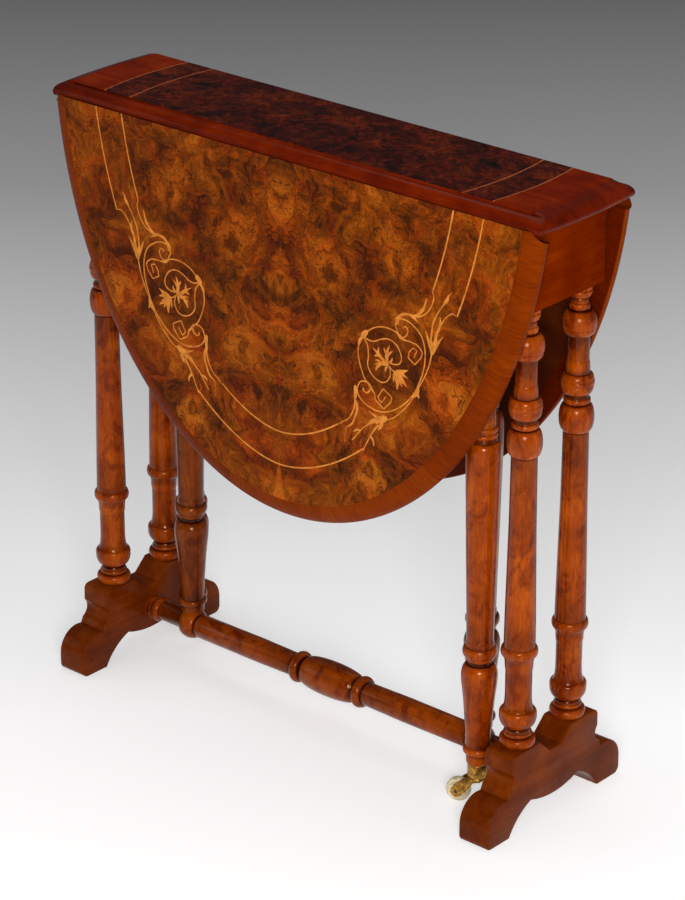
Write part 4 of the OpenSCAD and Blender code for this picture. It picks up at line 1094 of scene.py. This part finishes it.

# %% [markdown]
# The background is white under the table and falls to grey behind it, as painted shade for the light that
# fades along a lit sweep. Here it is one sweep of paper, a floor that turns up into a wall, with its tone
# laid by how far a point lies behind the table. The camera, gloss and glass also see part of the tone as a
# glow, so that the floor shows white without more light on the table, and still keeps its shadow.

# %% Floor and backdrop
AWAY = math.atan2(SPOT[0], -SPOT[1])
BEFORE, BEHIND, BEND, HIGH, WIDE = -4.5, 6.0, 2.0, 8.0, 9.0


def backdrop():
    """A path straight along the floor, a quarter circle of radius BEND, and straight up, carried across
    the view. Behind means away from the camera, whose direction is AWAY."""
    run = np.linspace(BEFORE, BEHIND, 40)
    t = np.linspace(0, np.pi / 2, 24)[1:]
    curve = np.stack([BEHIND + BEND * np.sin(t), BEND - BEND * np.cos(t)], 1)
    path = np.concatenate([np.stack([run, run * 0], 1), curve, [(BEHIND + BEND, HIGH)]])
    across, d, h = np.array([-WIDE, WIDE]), path[:, :1], path[:, 1:]
    x = across * math.cos(AWAY) - d * math.sin(AWAY)
    y = across * math.sin(AWAY) + d * math.cos(AWAY)
    rows = np.stack([x, y, np.broadcast_to(h, x.shape)], -1)
    i = np.arange(len(path) - 1) * 2
    mesh = bpy.data.meshes.new("studio_sweep")
    mesh.from_pydata(rows.reshape(-1, 3).tolist(), [], np.stack([i, i + 1, i + 3, i + 2], 1).tolist())
    mesh.shade_smooth()
    sweep = link("studio_sweep", mesh)
    return sweep


def paper(far_end=3.0, glow=0.6):
    """The sweep's tone over x . away + z, from 0 to far_end metres behind the table, as a matt colour plus a
    glow that only the camera, gloss and glass see."""
    material = bpy.data.materials.new("studio_floor")
    material.use_nodes = True
    tree = material.node_tree
    tree.nodes.clear()
    x, y, z = add(tree, "SeparateXYZ", links={"Vector": object_coords(tree)}).outputs
    far = sums(tree, "ADD", total(tree, (x, -math.sin(AWAY)), (y, math.cos(AWAY))), z)
    tone = add(tree, "MapRange", {"From Min": 0.0, "From Max": far_end}, {"Value": far}).outputs[0]
    # painted shade: the paper greys with distance behind the table
    shade = ramp(tree, tone, [(0.0, grey(0.8)), (0.25, (196, 196, 197)), (0.6, (142, 142, 143)),
                              (1.0, (97, 97, 98))])
    rays = add(tree, "LightPath").outputs
    seen = sums(tree, "MAXIMUM", rays["Is Camera Ray"], rays["Is Glossy Ray"])
    seen = sums(tree, "MAXIMUM", seen, rays["Is Transmission Ray"])
    lit = add(tree, "BsdfDiffuse", links={"Color": shade}).outputs[0]
    shine = {"Color": shade, "Strength": sums(tree, "MULTIPLY", seen, glow)}
    both = add(tree, "AddShader", links={0: lit, 1: add(tree, "Emission", links=shine).outputs[0]})
    add(tree, "OutputMaterial", links={"Surface": both.outputs[0]})
    return material


sweep = backdrop()
sweep.data.materials.append(paper())
print("faces of the sweep:", len(sweep.data.polygons))

# %% [markdown]
# The main lamp stands under the camera and nearer to the table, and puts a spark on every bead, as in the
# photograph. Three wide weak lamps, one overhead and one at each side, and a weak overall light fill the
# shadows. Each lamp below has its place, what it looks at, its width in metres, its power in watts and its
# colour.

# %% Lamps and the overall light
LAMPS = {
    "key": ((1.78, -1.96, 1.2), (0, 0, 0.45), 0.75, 54, (1, 0.98, 0.96)),
    "overhead": ((-0.3, 0.4, 2.7), (0, 0, 0.6), 1.8, 15, (1, 1, 1)),
    "fill_left": ((-2.6, -2.0, 1.3), (0, 0, 0.4), 1.2, 6, (1, 1, 1)),
    "fill_right": ((3.0, 0.6, 1.2), (0, 0, 0.4), 1.2, 5, (1, 1, 1)),
}
for name, (spot, aim, width, power, colour) in LAMPS.items():
    data = bpy.data.lights.new(name, "AREA")
    data.shape, data.size, data.size_y = "RECTANGLE", width, width
    data.energy, data.color = power, colour
    look(link(name, data), spot, aim)
world = bpy.data.worlds.new("studio_air")
bpy.context.scene.world = world
world.use_nodes = True
air = world.node_tree.nodes["Background"]
air.inputs["Color"].default_value = (0.36, 0.36, 0.37, 1)
air.inputs["Strength"].default_value = 0.55
bpy.context.scene.view_settings.view_transform = "Standard"
print("lamps:", ", ".join(LAMPS))
